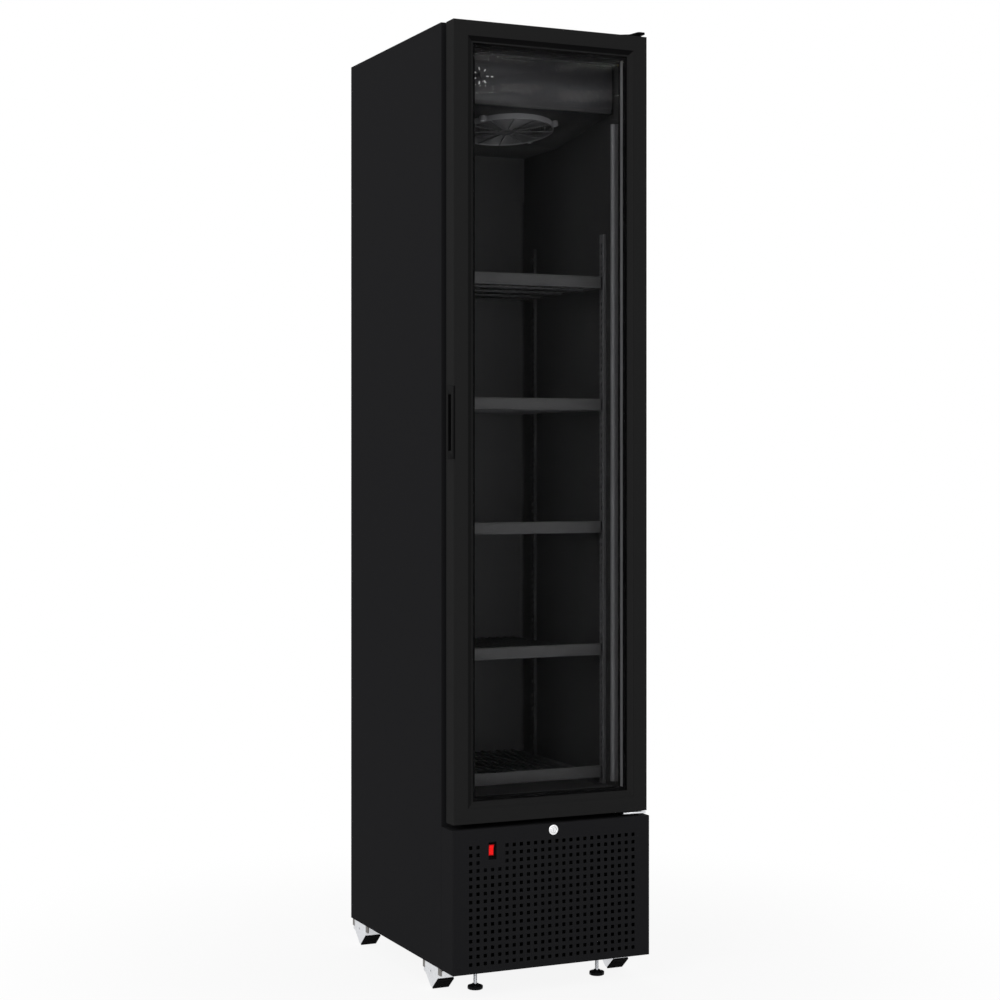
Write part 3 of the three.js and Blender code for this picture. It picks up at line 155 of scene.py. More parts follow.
class FinishColours(bpy.types.PropertyGroup):
    """Base colours of the finishes, in linear light."""

    coat: colour("Powder coat", (0.0158, 0.0158, 0.0171), "Steel skin and base panel")
    frame: colour("Door frame", (0.0184, 0.0184, 0.0185), "Extruded door frame")
    # Painted shade: the bead colour darkens the bead's slopes beside the handle, where shade falls.
    bead: colour("Glazing bead", (0.0120, 0.0120, 0.0121), "Bead between the frame and the glass")
    liner: colour("Liner", (0.0670, 0.0670, 0.0677), "Moulded inner liner")
    cover: colour("Cover", (0.0370, 0.0370, 0.0385), "Cover of the cooling unit and knob")
    # Deep black also paints shade on the bead's slopes at the head and on the spacer's head and foot.
    deep: colour("Deep black", (0.0030, 0.0030, 0.0032), "Handle, glass border, base pan and rubber")
    wire: colour("Wire coat", (0.0560, 0.0560, 0.0575), "Coated shelf wire")
    strip: colour("Price strip", (0.0525, 0.0525, 0.0531), "Label holders")
    upright: colour("Upright", (0.0520, 0.0520, 0.0530), "Slotted shelf uprights")
    lamp: colour("Lamp cover", (0.1150, 0.1150, 0.1190), "Frosted tube, unlit")
    guard: colour("Guard coat", (0.1100, 0.1100, 0.1130), "Coated wire of the fan guard")
    # Painted highlight: the rim colour is the guard's coat made lighter where light catches the rim
    # and lugs.
    rim: colour("Guard rim", (0.2000, 0.2000, 0.2060), "Thicker coat on the guard's rim and lugs")
    # Painted shade: the tabs colour is the galvanised zinc darkened where the folded tabs lie in
    # shade.
    tabs: colour("Skid tabs", (0.2300, 0.2200, 0.2100), "Duller folds of the galvanised skids")
    zinc: colour("Zinc", (0.74, 0.75, 0.77), "Zinc plated and galvanised steel")
    spacer: colour("Spacer", (0.1350, 0.1350, 0.1400), "Coated spacer between the panes")
    chrome: colour("Chrome", (0.86, 0.86, 0.87), "Plated lock")
    rocker: colour("Rocker", (0.36, 0.004, 0.006), "Red body of the rocker")
    lens: colour("Rocker lens", (0.90, 0.006, 0.006), "Clear red window of the rocker")
    print_white: colour("Dial print", (0.80, 0.80, 0.80), "Marks printed round the thermostat")
    fins: colour("Fins", (0.42, 0.43, 0.44), "Aluminium fins of the evaporator coil")
    lacquer: colour("Lacquer", (0.004, 0.004, 0.004), "Lacquered fins of the condenser")
    enamel: colour("Enamel", (0.005, 0.005, 0.005), "Compressor and fan motors")
    moulding: colour("Moulding", (0.005, 0.005, 0.0055), "Small moulded fittings")
    foam: colour("Foam", (0.65, 0.50, 0.22), "Rigid foam inside the walls")
    dust: colour("Dust", (0.16, 0.15, 0.14), "Dust on faces that look up")
    facet: colour("Zinc facet", (0.40, 0.42, 0.45), "Darker crystals of the galvanised steel")
    glass: colour("Glass", (0.965, 0.965, 0.970), "Clear float glass")
    floor: colour("Floor", (0.86, 0.86, 0.86), "Studio floor")


class CameraSizes(bpy.types.PropertyGroup):
    """Where the camera stands and how it is framed."""

    place: FloatVectorProperty(name="Place", description="Camera position", size=3,
                               default=(-1.886, -4.165, 1.1132), subtype="TRANSLATION",
                               unit="LENGTH")
    azimuth: FloatProperty(name="Azimuth", description="Turn of the level camera from straight ahead",
                           default=math.radians(-24.51), subtype="ANGLE")
    lens: FloatProperty(name="Lens", description="Focal length on a 36 mm wide sensor, in mm",
                        default=73.6)
    rise: FloatProperty(name="Shift", description="Vertical lens shift, in widths of the sensor",
                        default=-0.0389)


SETTINGS = {
    "door": DoorSizes,
    "panel": PanelSizes,
    "shelf": ShelfSizes,
    "fan": FanSizes,
    "colours": FinishColours,
    "camera": CameraSizes,
}


def setting(name):
    """The property group of that name."""
    return getattr(bpy.context.scene, "merchandiser_" + name)


# ---------------------------------------------------------------- mesh helpers


def block(bm, x0, x1, y0, y1, z0, z1):
    """Adds a box between two corners."""
    plan = ((x0, y0), (x1, y0), (x1, y1), (x0, y1))
    corners = [bm.verts.new((x, y, z)) for z in (z0, z1) for x, y in plan]
    faces = [(3, 2, 1, 0), (4, 5, 6, 7), (0, 1, 5, 4), (1, 2, 6, 5), (2, 3, 7, 6), (3, 0, 4, 7)]
    return [bm.faces.new([corners[i] for i in face]) for face in faces]


def soft_block(bm, x0, x1, y0, y1, z0, z1, radius, steps=3):
    """Adds a box with all its edges rounded."""
    part = bmesh.new()
    block(part, x0, x1, y0, y1, z0, z1)
    bmesh.ops.bevel(part, geom=part.edges[:], offset=radius, segments=steps, profile=0.5,
                    affect="EDGES", clamp_overlap=True)
    copies(bm, part, [Matrix.Identity(4)])


def copies(bm, part, matrices):
    """Adds one copy of a part at each matrix, and frees the part."""
    mesh = bpy.data.meshes.new("part")
    part.to_mesh(mesh)
    part.free()
    for matrix in matrices:
        twin = mesh.copy()
        twin.transform(matrix)
        bm.from_mesh(twin)
        bpy.data.meshes.remove(twin)
    bpy.data.meshes.remove(mesh)


AXIS_FRAMES = {
    "X": Matrix(((0, 0, 1), (1, 0, 0), (0, 1, 0))),
    "Y": Matrix(((1, 0, 0), (0, 0, 1), (0, 1, 0))),
    "Z": Matrix(((1, 0, 0), (0, 1, 0), (0, 0, 1))),
}


def place_on(axis, u, v, w):
    """A point at (u, v) across an axis and w along it; across X is (y, z) and across Y is (x, z)."""
    return AXIS_FRAMES[axis] @ Vector((u, v, w))


def join_rings(bm, lower, upper):
    """Adds a band of faces between two closed rings of corners."""
    for step in range(len(lower)):
        after = (step + 1) % len(lower)
        bm.faces.new((lower[step], lower[after], upper[after], upper[step]))


def prism(bm, outline, axis, start, stop):
    """Adds a straight bar along an axis from its outline."""
    low, high = [[bm.verts.new(place_on(axis, u, v, w)) for u, v in outline] for w in (start, stop)]
    bm.faces.new(low[::-1])
    bm.faces.new(high)
    join_rings(bm, low, high)


def full_turn(steps):
    """The angles of equal steps round a circle, in radians."""
    return [2 * math.pi * step / steps for step in range(steps)]


def turned(bm, profile, centre, axis="Z", steps=40, shape=None):
    """Adds a solid of revolution from (radius, height) points that start and end on the axis.

    shape(turn, radius) may change the radius round the piece."""
    centre = Vector(centre)
    rings = []
    for radius, height in profile:
        if radius == 0:
            rings.append([bm.verts.new(centre + place_on(axis, 0, 0, height))])
            continue
        ring = []
        for turn in full_turn(steps):
            reach = shape(turn, radius) if shape else radius
            point = place_on(axis, reach * math.cos(turn), reach * math.sin(turn), height)
            ring.append(bm.verts.new(centre + point))
        rings.append(ring)
    for lower, upper in zip(rings, rings[1:]):
        if len(lower) > 1 and len(upper) > 1:
            join_rings(bm, lower, upper)
            continue
        for step in range(steps):
            after = (step + 1) % steps
            if len(upper) > 1:
                bm.faces.new((lower[0], upper[step], upper[after]))
            elif len(lower) > 1:
                bm.faces.new((lower[after], lower[step], upper[0]))


def ring_of(bm, profile, centre, axis="Z", steps=40):
    """Adds a solid of revolution whose profile closes on itself off the axis."""
    centre = Vector(centre)
    rings = []
    for radius, height in profile:
        rings.append([bm.verts.new(centre + place_on(axis, radius * math.cos(turn),
                                                     radius * math.sin(turn), height))
                      for turn in full_turn(steps)])
    for index, lower in enumerate(rings):
        join_rings(bm, lower, rings[(index + 1) % len(rings)])


def round_profile(radius, low, high, soft):
    """Profile of a rod about its axis with softened ends."""
    return [(0, low), (radius - soft, low), (radius - 0.3 * soft, low + 0.3 * soft),
            (radius, low + soft), (radius, high - soft), (radius - 0.3 * soft, high - 0.3 * soft),
            (radius - soft, high), (0, high)]


def wire(bm, points, radius, closed=False, sides=8):
    """Adds a round wire along a path."""
    points = [Vector(point) for point in points]
    last = len(points) - 1
    rings = []
    lean = None
    for index, point in enumerate(points):
        before = points[index - 1] if index or closed else point
        after = points[(index + 1) % len(points)] if index < last or closed else point
        ahead = (after - before).normalized()
        if lean is None:
            lean = ahead.orthogonal().normalized()
        lean = (lean - ahead * lean.dot(ahead)).normalized()
        side = ahead.cross(lean)
        rings.append([bm.verts.new(point + radius * (lean * math.cos(turn) + side * math.sin(turn)))
                      for turn in full_turn(sides)])
    pairs = list(zip(rings, rings[1:]))
    if closed:
        pairs.append((rings[-1], rings[0]))
    else:
        bm.faces.new(rings[0][::-1])
        bm.faces.new(rings[-1])
    for lower, upper in pairs:
        join_rings(bm, lower, upper)


def mitred(bm, profile, box):
    """Sweeps a closed profile of (inset, depth) points round an upright rectangle, mitred."""
    x0, x1, y, z0, z1 = box
    loops = []
    for inset, deep in profile:
        corners = ((x0 + inset, z0 + inset), (x1 - inset, z0 + inset),
                   (x1 - inset, z1 - inset), (x0 + inset, z1 - inset))
        loops.append([bm.verts.new((x, y + deep, z)) for x, z in corners])
    for index, near in enumerate(loops):
        join_rings(bm, near, loops[(index + 1) % len(loops)])


def arc(centre, radius, start, stop, steps):
    """Points on an arc, angles in degrees."""
    turns = [math.radians(start + (stop - start) * step / steps) for step in range(steps + 1)]
    return [(centre[0] + radius * math.cos(turn), centre[1] + radius * math.sin(turn))
            for turn in turns]


def hexagon(centre, radius):
    """The outline of a nut; the radius reaches to its corners."""
    return arc(centre, radius, 0, 300, 5)


def rounded_outline(u0, u1, v0, v1, radius, steps=4):
    """A rectangle's outline with rounded corners."""
    points = []
    for centre, start in (((u1 - radius, v0 + radius), -90), ((u1 - radius, v1 - radius), 0),
                          ((u0 + radius, v1 - radius), 90), ((u0 + radius, v0 + radius), 180)):
        points += arc(centre, radius, start, start + 90, steps)
    return points


def block_tool(*sides):
    """A box to cut with."""
    tool = bmesh.new()
    block(tool, *sides)
    return tool


def bore_tool(centre, axis, radius, start, stop, steps=40):
    """A plain round bar to cut with."""
    tool = bmesh.new()
    turned(tool, [(0, start), (radius, start), (radius, stop), (0, stop)], centre, axis, steps)
    return tool


# ---------------------------------------------------------------- pieces


def placed(name, bm):
    """Puts a mesh into the scene as an object."""
    mesh = bpy.data.meshes.new(name)
    bm.to_mesh(mesh)
    bm.free()
    made = bpy.data.objects.new(name, mesh)
    bpy.context.scene.collection.objects.link(made)
    return made


def piece(name, bm, material, body, slot, *nodes, crease=35, bevel=0.0, steps=2):
    """Makes a named piece from a mesh: it rides its body and stands for the CAD nodes given."""
    bmesh.ops.remove_doubles(bm, verts=bm.verts, dist=1e-6)
    bmesh.ops.recalc_face_normals(bm, faces=bm.faces)
    made = placed(name, bm)
    made.data.materials.append(material)
    smooth(made.data, crease)
    steady(made)
    if bevel:
        round_edges(made, bevel, steps, crease)
    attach(made, body)
    if nodes:
        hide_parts(*nodes)
    return made


def smooth(mesh, crease):
    """Smooth shading that stays crisp at creases."""
    mesh.shade_smooth()
    mesh.set_sharp_from_angle(angle=math.radians(crease))


def round_edges(made, width, steps=2, crease=35):
    """A bevel modifier on the piece's sharp edges."""
    bevel = made.modifiers.new("edge rounding", "BEVEL")
    bevel.width = width
    bevel.segments = steps
    bevel.limit_method = "ANGLE"
    bevel.angle_limit = math.radians(crease)
    bevel.harden_normals = True
    bevel.use_clamp_overlap = True
    if "even shading" in made.modifiers:
        steady(made)


def steady(made):
    """Keeps the shading of a flat face flat beside rounded edges, as the last modifier."""
    if "even shading" in made.modifiers:
        made.modifiers.remove(made.modifiers["even shading"])
    made.modifiers.new("even shading", "WEIGHTED_NORMAL").keep_sharp = True


def thicken(made, thickness, outside, offset=-1):
    """Gives a skin its sheet thickness, inwards from the side that faces outside."""
    lean = sum((face.normal * face.area for face in made.data.polygons), Vector())
    if lean.dot(Vector(outside)) < 0:
        made.data.flip_normals()
    sheet = made.modifiers.new("sheet", "SOLIDIFY")
    sheet.thickness = thickness
    sheet.offset = offset
    apply_modifiers(made)


def apply_modifiers(made):
    """Writes the result of the modifiers into the piece's own mesh."""
    made.modifiers.remove(made.modifiers["even shading"])
    bpy.context.view_layer.update()
    graph = bpy.context.evaluated_depsgraph_get()
    mesh = bpy.data.meshes.new_from_object(made.evaluated_get(graph))
    old = made.data
    made.modifiers.clear()
    made.data = mesh
    mesh.name = made.name
    bpy.data.meshes.remove(old)
    steady(made)


def carve(made, *tools, crease=35):
    """Cuts each tool's shape out of a piece."""
    for tool in tools:
        bmesh.ops.recalc_face_normals(tool, faces=tool.faces)
        cutter = placed("tool", tool)
        mesh = cutter.data
        removal = made.modifiers.new("cut", "BOOLEAN")
        removal.operation = "DIFFERENCE"
        removal.solver = "EXACT"
        removal.object = cutter
        apply_modifiers(made)
        bpy.data.objects.remove(cutter)
        bpy.data.meshes.remove(mesh)
    smooth(made.data, crease)


def keep(node, material, bevel=0.0, steps=2, crease=35):
    """Shows a CAD node with a finish, and its sharp edges rounded by modifiers."""
    made = frame["nodes"][node]
    made.data.materials.clear()
    made.data.materials.append(material)
    smooth(made.data, crease)
    if bevel:
        weld = made.modifiers.new("joined corners", "WELD")
        weld.merge_threshold = 0.002 * MM
        flat = made.modifiers.new("flat faces", "DECIMATE")
        flat.decimate_type = "DISSOLVE"
        flat.angle_limit = math.radians(1)
        round_edges(made, bevel, steps, crease)
    return made


# ---------------------------------------------------------------- shader effects


class Graph:
    """Places and joins shader nodes in one node tree."""

    def __init__(self, tree):
        self.tree = tree

    def node(self, kind, **settings):
        """Places a node and sets its options."""
        made = self.tree.nodes.new(kind)
        for name, value in settings.items():
            setattr(made, name, value)
        return made

    def feed(self, socket, value):
        """Joins another node's output to a socket, or sets the socket's own value."""
        if isinstance(value, bpy.types.NodeSocket):
            self.tree.links.new(value, socket)
        else:
            socket.default_value = value

    def math(self, operation, *values, clamp=False):
        """A sum on one to three values."""
        made = self.node("ShaderNodeMath", operation=operation, use_clamp=clamp)
        for socket, value in zip(made.inputs, values):
            self.feed(socket, value)
        return made.outputs[0]

    def span(self, value, low, high, to_low=0.0, to_high=1.0):
        """Passes smoothly from one value to another as the input goes from low to high."""
        made = self.node("ShaderNodeMapRange", interpolation_type="SMOOTHSTEP")
        for index, number in enumerate((value, low, high, to_low, to_high)):
            self.feed(made.inputs[index], number)
        return made.outputs[0]

    def blend(self, factor, first, second, mode="MIX"):
        """Mixes two colours."""
        made = self.node("ShaderNodeMix", data_type="RGBA", blend_type=mode)
        self.feed(made.inputs[0], factor)
        self.feed(made.inputs[6], first)
        self.feed(made.inputs[7], second)
        return made.outputs[2]

    def noise(self, vector, scale, detail=2.0, roughness=0.5):
        """Cloudy noise around one half."""
        made = self.node("ShaderNodeTexNoise")
        self.feed(made.inputs["Vector"], vector)
        self.feed(made.inputs["Scale"], scale)
        self.feed(made.inputs["Detail"], detail)
        self.feed(made.inputs["Roughness"], roughness)
        return made.outputs[0]

    def place(self):
        """The point in the piece's own space, in metres."""
        return self.node("ShaderNodeTexCoord").outputs["Object"]

    def stretched(self, rise):
        """The same point with its height scaled, so that a pattern lies in streaks."""
        made = self.node("ShaderNodeMapping")
        self.feed(made.inputs["Vector"], self.place())
        made.inputs["Scale"].default_value = (1.0, 1.0, rise)
        return made.outputs[0]

    def part(self, vector, axis):
        """A vector's part along X, Y or Z."""
        made = self.node("ShaderNodeSeparateXYZ")
        self.feed(made.inputs[0], vector)
        return made.outputs[axis]

    def seen(self):
        """One for rays that show a surface, straight, mirrored or through glass."""
        path = self.node("ShaderNodeLightPath")
        shown = self.math("MAXIMUM", path.outputs["Is Camera Ray"], path.outputs["Is Glossy Ray"])
        return self.math("MAXIMUM", shown, path.outputs["Is Transmission Ray"])


def effect(name, inputs, output, build):
    """A node group with named number inputs and one named output, built once."""
    tree = bpy.data.node_groups.get(name)
    if tree:
        return tree
    tree = bpy.data.node_groups.new(name, "ShaderNodeTree")
    for label, default in inputs.items():
        socket = tree.interface.new_socket(label, in_out="INPUT", socket_type="NodeSocketFloat")
        socket.default_value = default
    tree.interface.new_socket(output, in_out="OUTPUT", socket_type="NodeSocketFloat")
    graph = Graph(tree)
    source = graph.node("NodeGroupInput")
    sink = graph.node("NodeGroupOutput")
    graph.feed(sink.inputs[0], build(graph, source.outputs))
    return tree


def sprayed_grain():
    """Orange peel and fine grit of a sprayed or moulded skin, as a height."""
    def build(graph, given):
        place = graph.place()
        fine = graph.noise(place, given["Scale"], 3.0, 0.6)
        broad = graph.noise(place, graph.math("MULTIPLY", given["Scale"], 0.22), 1.0)
        broad = graph.math("MULTIPLY", broad, given["Peel"])
        return graph.math("ADD", fine, broad)
    return effect("Sprayed Grain", {"Scale": 900.0, "Peel": 1.0}, "Height", build)


def uneven_tone():
    """Slow change of tone over a surface, as a factor around one."""
    def build(graph, given):
        place = graph.place()
        slow = graph.noise(place, given["Scale"], 3.0, 0.55)
        fine = graph.noise(place, graph.math("MULTIPLY", given["Scale"], 9.0), 2.0)
        both = graph.math("ADD", graph.math("MULTIPLY", slow, 0.7), graph.math("MULTIPLY", fine, 0.3))
        change = graph.math("MULTIPLY", graph.math("SUBTRACT", both, 0.5), given["Amount"])
        return graph.math("ADD", change, 1.0)
    return effect("Uneven Tone", {"Scale": 4.0, "Amount": 0.3}, "Factor", build)


def edge_wear():
    """Rubbed edges: a mask that is high beside an edge, broken up by noise."""
    def build(graph, given):
        soft = graph.node("ShaderNodeBevel", samples=4)
        soft.inputs["Radius"].default_value = 0.7 * MM
        turn = graph.node("ShaderNodeVectorMath", operation="DOT_PRODUCT")
        graph.feed(turn.inputs[0], soft.outputs[0])
        graph.feed(turn.inputs[1], graph.node("ShaderNodeNewGeometry").outputs["Normal"])
        edge = graph.span(turn.outputs["Value"], 0.97, 0.75)
        patch = graph.span(graph.noise(graph.place(), given["Scale"], 4.0, 0.65), 0.42, 0.7)
        return graph.math("MULTIPLY", graph.math("MULTIPLY", edge, patch), given["Amount"])
    return effect("Edge Wear", {"Scale": 60.0, "Amount": 0.5}, "Mask", build)


def settled_dust():
    """Dust that lies on faces that look up, as a mask."""
    def build(graph, given):
        normal = graph.node("ShaderNodeNewGeometry").outputs["Normal"]
        level = graph.span(graph.part(normal, "Z"), 0.55, 0.98)
        patch = graph.span(graph.noise(graph.place(), given["Scale"], 5.0, 0.6), 0.35, 0.75)
        return graph.math("MULTIPLY", graph.math("MULTIPLY", level, patch), given["Amount"])
    return effect("Settled Dust", {"Scale": 30.0, "Amount": 0.2}, "Mask", build)


def zinc_spangle():
    """Crystal facets of a galvanised skin, as a tone for each facet."""
    def build(graph, given):
        cells = graph.node("ShaderNodeTexVoronoi")
        warp = graph.node("ShaderNodeVectorMath", operation="MULTIPLY_ADD")
        graph.feed(warp.inputs[0], graph.node("ShaderNodeTexNoise").outputs[1])
        warp.inputs[1].default_value = (0.004, 0.004, 0.004)
        graph.feed(warp.inputs[2], graph.place())
        graph.feed(cells.inputs["Vector"], warp.outputs[0])
        graph.feed(cells.inputs["Scale"], given["Scale"])
        tone = graph.node("ShaderNodeRGBToBW")
        graph.feed(tone.inputs[0], cells.outputs["Color"])
        return graph.math("MULTIPLY", tone.outputs[0], given["Amount"])
    return effect("Zinc Spangle", {"Scale": 180.0, "Amount": 0.2}, "Tone", build)


def brushed_lines():
    """Fine straight lines of a drawn or polished surface, as a height."""
    def build(graph, given):
        return graph.noise(graph.stretched(0.02), given["Scale"], 3.0)
    return effect("Brushed Lines", {"Scale": 2500.0}, "Height", build)


def hand_smudges():
    """Faint wiped patches that change how sharp a reflection is, as a mask."""
    def build(graph, given):
        patch = graph.span(graph.noise(graph.stretched(2.6), given["Scale"], 4.0, 0.6), 0.5, 0.78)
        return graph.math("MULTIPLY", patch, given["Amount"])
    return effect("Hand Smudges", {"Scale": 9.0, "Amount": 0.1}, "Mask", build)


class Finish:
    """A material under way: a Principled shader, and the effects that feed it."""

    def __init__(self, name, base, roughness, metallic=0.0, specular=0.5):
        self.material = bpy.data.materials.new(name)
        self.material.use_nodes = True
        self.graph = Graph(self.material.node_tree)
        self.shader = self.material.node_tree.nodes["Principled BSDF"]
        self.shader.inputs["Roughness"].default_value = roughness
        self.shader.inputs["Metallic"].default_value = metallic
        self.shader.inputs["Specular IOR Level"].default_value = specular
        self.tone = self.graph.node("ShaderNodeRGB").outputs[0]
        self.tone.default_value = (*base, 1.0)
        self.rough = roughness
        self.height = None

    def use(self, group, **inputs):
        """Places an effect with its own values and gives its output."""
        made = self.graph.node("ShaderNodeGroup", node_tree=group)
        for label, value in inputs.items():
            self.graph.feed(made.inputs[label], value)
        return made.outputs[0]

    def uneven(self, scale=4.0, amount=0.3):
        """Tone and gloss drift slowly over the surface."""
        factor = self.use(uneven_tone(), Scale=scale, Amount=amount)
        grey = self.graph.node("ShaderNodeCombineColor")
        for socket in grey.inputs:
            self.graph.feed(socket, factor)
        self.tone = self.graph.blend(1.0, self.tone, grey.outputs[0], "MULTIPLY")
        self.rough = self.graph.math("MULTIPLY", factor, self.rough)
        return self

    def worn(self, shade, scale=60.0, amount=0.5):
        """Edges rubbed to another shade."""
        self.tone = self.graph.blend(self.use(edge_wear(), Scale=scale, Amount=amount),
                                     self.tone, (*shade, 1.0))
        return self

    def dusty(self, amount=0.15, scale=30.0):
        """A little pale dust on what looks up, which also dulls it."""
        mask = self.use(settled_dust(), Scale=scale, Amount=amount)
        self.tone = self.graph.blend(mask, self.tone, (*setting("colours").dust, 1.0))
        self.rougher(self.graph.math("MULTIPLY", mask, 0.3))
        return self

    def smudged(self, amount=0.12, scale=9.0):
        """Wiped patches that dull the gloss."""
        self.rougher(self.use(hand_smudges(), Scale=scale, Amount=amount))
        return self

    def grained(self, scale=900.0, depth=0.02 * MM, peel=1.0):
        """Fine relief over the surface."""
        self.relief(self.use(sprayed_grain(), Scale=scale, Peel=peel), depth)
        return self

    def brushed(self, scale=2500.0, depth=0.01 * MM):
        """Fine straight lines."""
        self.relief(self.use(brushed_lines(), Scale=scale), depth)
        return self

    def spangled(self, scale=180.0, amount=0.25):
        """Crystal facets, lighter and darker."""
        tone = self.use(zinc_spangle(), Scale=scale, Amount=amount)
        self.tone = self.graph.blend(tone, self.tone, (*setting("colours").facet, 1.0))
        self.rougher(self.graph.math("MULTIPLY", tone, 0.5))
        return self

    def shaded_to_front(self, front, back, shade):
        """Painted shade: tone passes to another shade towards the cabinet's front, except on faces
        that look up.
        """
        geometry = self.graph.node("ShaderNodeNewGeometry")
        deep = self.graph.part(geometry.outputs["Position"], "Y")
        share = self.graph.span(deep, front, back, 1.0, 0.0)
        level = self.graph.part(geometry.outputs["Normal"], "Z")
        upright = self.graph.math("SUBTRACT", 1.0, level, clamp=True)
        share = self.graph.math("MULTIPLY", share, upright)
        self.tone = self.graph.blend(share, self.tone, (*shade, 1.0))
        return self

    def rougher(self, mask):
        """Adds a mask to the roughness."""
        self.rough = self.graph.math("ADD", self.rough, mask, clamp=True)

    def relief(self, height, depth):
        """Adds a height, in metres at full value, to the surface's relief."""
        bump = self.graph.node("ShaderNodeBump")
        bump.inputs["Distance"].default_value = depth
        self.graph.feed(bump.inputs["Height"], height)
        if self.height is not None:
            self.graph.feed(bump.inputs["Normal"], self.height)
        self.height = bump.outputs[0]

    def done(self):
        """Joins the effects to the shader and gives the material."""
        self.graph.feed(self.shader.inputs["Base Color"], self.tone)
        self.graph.feed(self.shader.inputs["Roughness"], self.rough)
        if self.height is not None:
            self.graph.feed(self.shader.inputs["Normal"], self.height)
        return self.material

    def give_way(self, share, other):
        """Another shader takes a share of the surface."""
        choice = self.graph.node("ShaderNodeMixShader")
        self.graph.feed(choice.inputs[0], share)
        self.graph.feed(choice.inputs[1], self.shader.outputs[0])
        self.graph.feed(choice.inputs[2], other.outputs[0])
        self.graph.feed(self.graph.tree.nodes["Material Output"].inputs[0], choice.outputs[0])


# ---------------------------------------------------------------- finishes


def powder_coat(colours):
    """Satin black powder coat on steel."""
    made = Finish("black_powder_coat", colours.coat, 0.6, specular=0.005)
    return made.uneven(1.6, 0.05).worn((0.05, 0.05, 0.052), amount=0.3).dusty(0.03).grained(
        1400.0, 0.008 * MM).done()


def frame_black(colours):
    """Satin black of the extruded door frame."""
    made = Finish("black_door_frame", colours.frame, 0.55, specular=0.008)
    return made.uneven(2.4, 0.05).worn((0.045, 0.045, 0.047), amount=0.3).smudged(0.08).grained(
        1600.0, 0.008 * MM).done()


def shaded_bead_black(colours):
    """Softer, darker black painted on the glazing bead's slopes beside the handle, as painted shade.
    """
    made = Finish("black_glazing_bead", colours.bead, 0.5, specular=0.008)
    return made.uneven(5.0, 0.06).grained(2000.0, 0.01 * MM).done()


def liner_black(colours):
    """Smooth moulded black liner."""
    made = Finish("black_liner", colours.liner, 0.36, specular=0.05)
    # Painted shade: near the door the liner's walls and ceiling turn darker.
    made.shaded_to_front(-0.2, 0.08, [0.38 * value for value in colours.liner])
    return made.uneven(2.0, 0.08).smudged(0.06).dusty(0.04).grained(420.0, 0.012 * MM, 1.6).done()


def cover_black(colours):
    """Glossier moulded black of the cooling unit's cover."""
    made = Finish("black_unit_cover", colours.cover, 0.08, specular=0.12)
    return made.uneven(2.0, 0.03).grained(700.0, 0.004 * MM, 1.4).done()


def deep_black(colours):
    """Deep black moulded plastic."""
    made = Finish("deep_black_plastic", colours.deep, 0.6, specular=0.03)
    return made.uneven(12.0, 0.2).grained(1500.0, 0.02 * MM).done()


def seal_rubber(colours):
    """Soft black gasket rubber."""
    made = Finish("black_seal_rubber", colours.deep, 0.75, specular=0.1)
    return made.uneven(20.0, 0.3).dusty(0.1).grained(1900.0, 0.03 * MM).done()


def tyre_rubber(colours):
    """Hard black rubber of the pads and the gland."""
    made = Finish("black_pad_rubber", colours.deep, 0.7, specular=0.02)
    return made.uneven(25.0, 0.3).worn((0.02, 0.02, 0.02)).dusty(0.08).grained(
        1300.0, 0.04 * MM).done()


def zinc_plate(colours):
    """Galvanised steel with fine crystal facets."""
    made = Finish("galvanised_steel", colours.zinc, 0.36, metallic=1.0)
    return made.spangled(160.0, 0.16).uneven(14.0, 0.1).dusty(0.08).grained(700.0, 0.006 * MM).done()


def shaded_fold_zinc(colours):
    """Galvanised folds darkened to a duller zinc: painted shade on the skids' folded tabs."""
    made = Finish("dull_galvanised_fold", colours.tabs, 0.5, metallic=0.3, specular=0.2)
    return made.uneven(40.0, 0.25).dusty(0.1).brushed(1500.0, 0.01 * MM).done()


def bright_zinc(colours):
    """Bright zinc plate of small fastened parts."""
    made = Finish("bright_zinc_plate", colours.zinc, 0.28, metallic=1.0)
    return made.uneven(30.0, 0.1).worn((0.9, 0.9, 0.9)).brushed(2200.0, 0.002 * MM).done()


def chrome_plate(colours):
    """Polished plate of the lock."""
    made = Finish("polished_lock_plate", colours.chrome, 0.14, metallic=1.0)
    return made.uneven(60.0, 0.1).smudged(0.05, 60.0).brushed(3000.0, 0.0006 * MM).done()


def wire_coat(colours):
    """Plastic dipped shelf wire."""
    made = Finish("grey_coated_wire", colours.wire, 0.5, specular=0.2)
    return made.uneven(18.0, 0.2).dusty(0.05).grained(800.0, 0.03 * MM, 1.5).done()


def guard_coat(colours):
    """Lighter coated wire of the fan guard."""
    made = Finish("grey_coated_guard", colours.guard, 0.34, specular=0.5)
    return made.uneven(22.0, 0.14).dusty(0.1).grained(900.0, 0.01 * MM).done()


def rim_highlight_coat(colours):
    """Guard coat made lighter on the rim and lugs as a painted highlight, and a little glossier."""
    made = Finish("grey_coated_rim", colours.rim, 0.3, specular=0.5)
    return made.uneven(22.0, 0.1).dusty(0.05).grained(900.0, 0.01 * MM).done()


def strip_grey(colours):
    """Grey extruded label holder."""
    made = Finish("grey_label_holder", colours.strip, 0.42, specular=0.2)
    return made.uneven(9.0, 0.12).smudged().brushed(1500.0, 0.01 * MM).grained(
        1400.0, 0.01 * MM).done()


def upright_coat(colours):
    """Coated steel of the rear uprights and of every clip."""
    made = Finish("black_coated_upright", colours.upright, 0.45, specular=0.2)
    return made.uneven(12.0, 0.16).worn((0.08, 0.08, 0.08), 120.0, 0.15).grained(
        1200.0, 0.02 * MM).done()


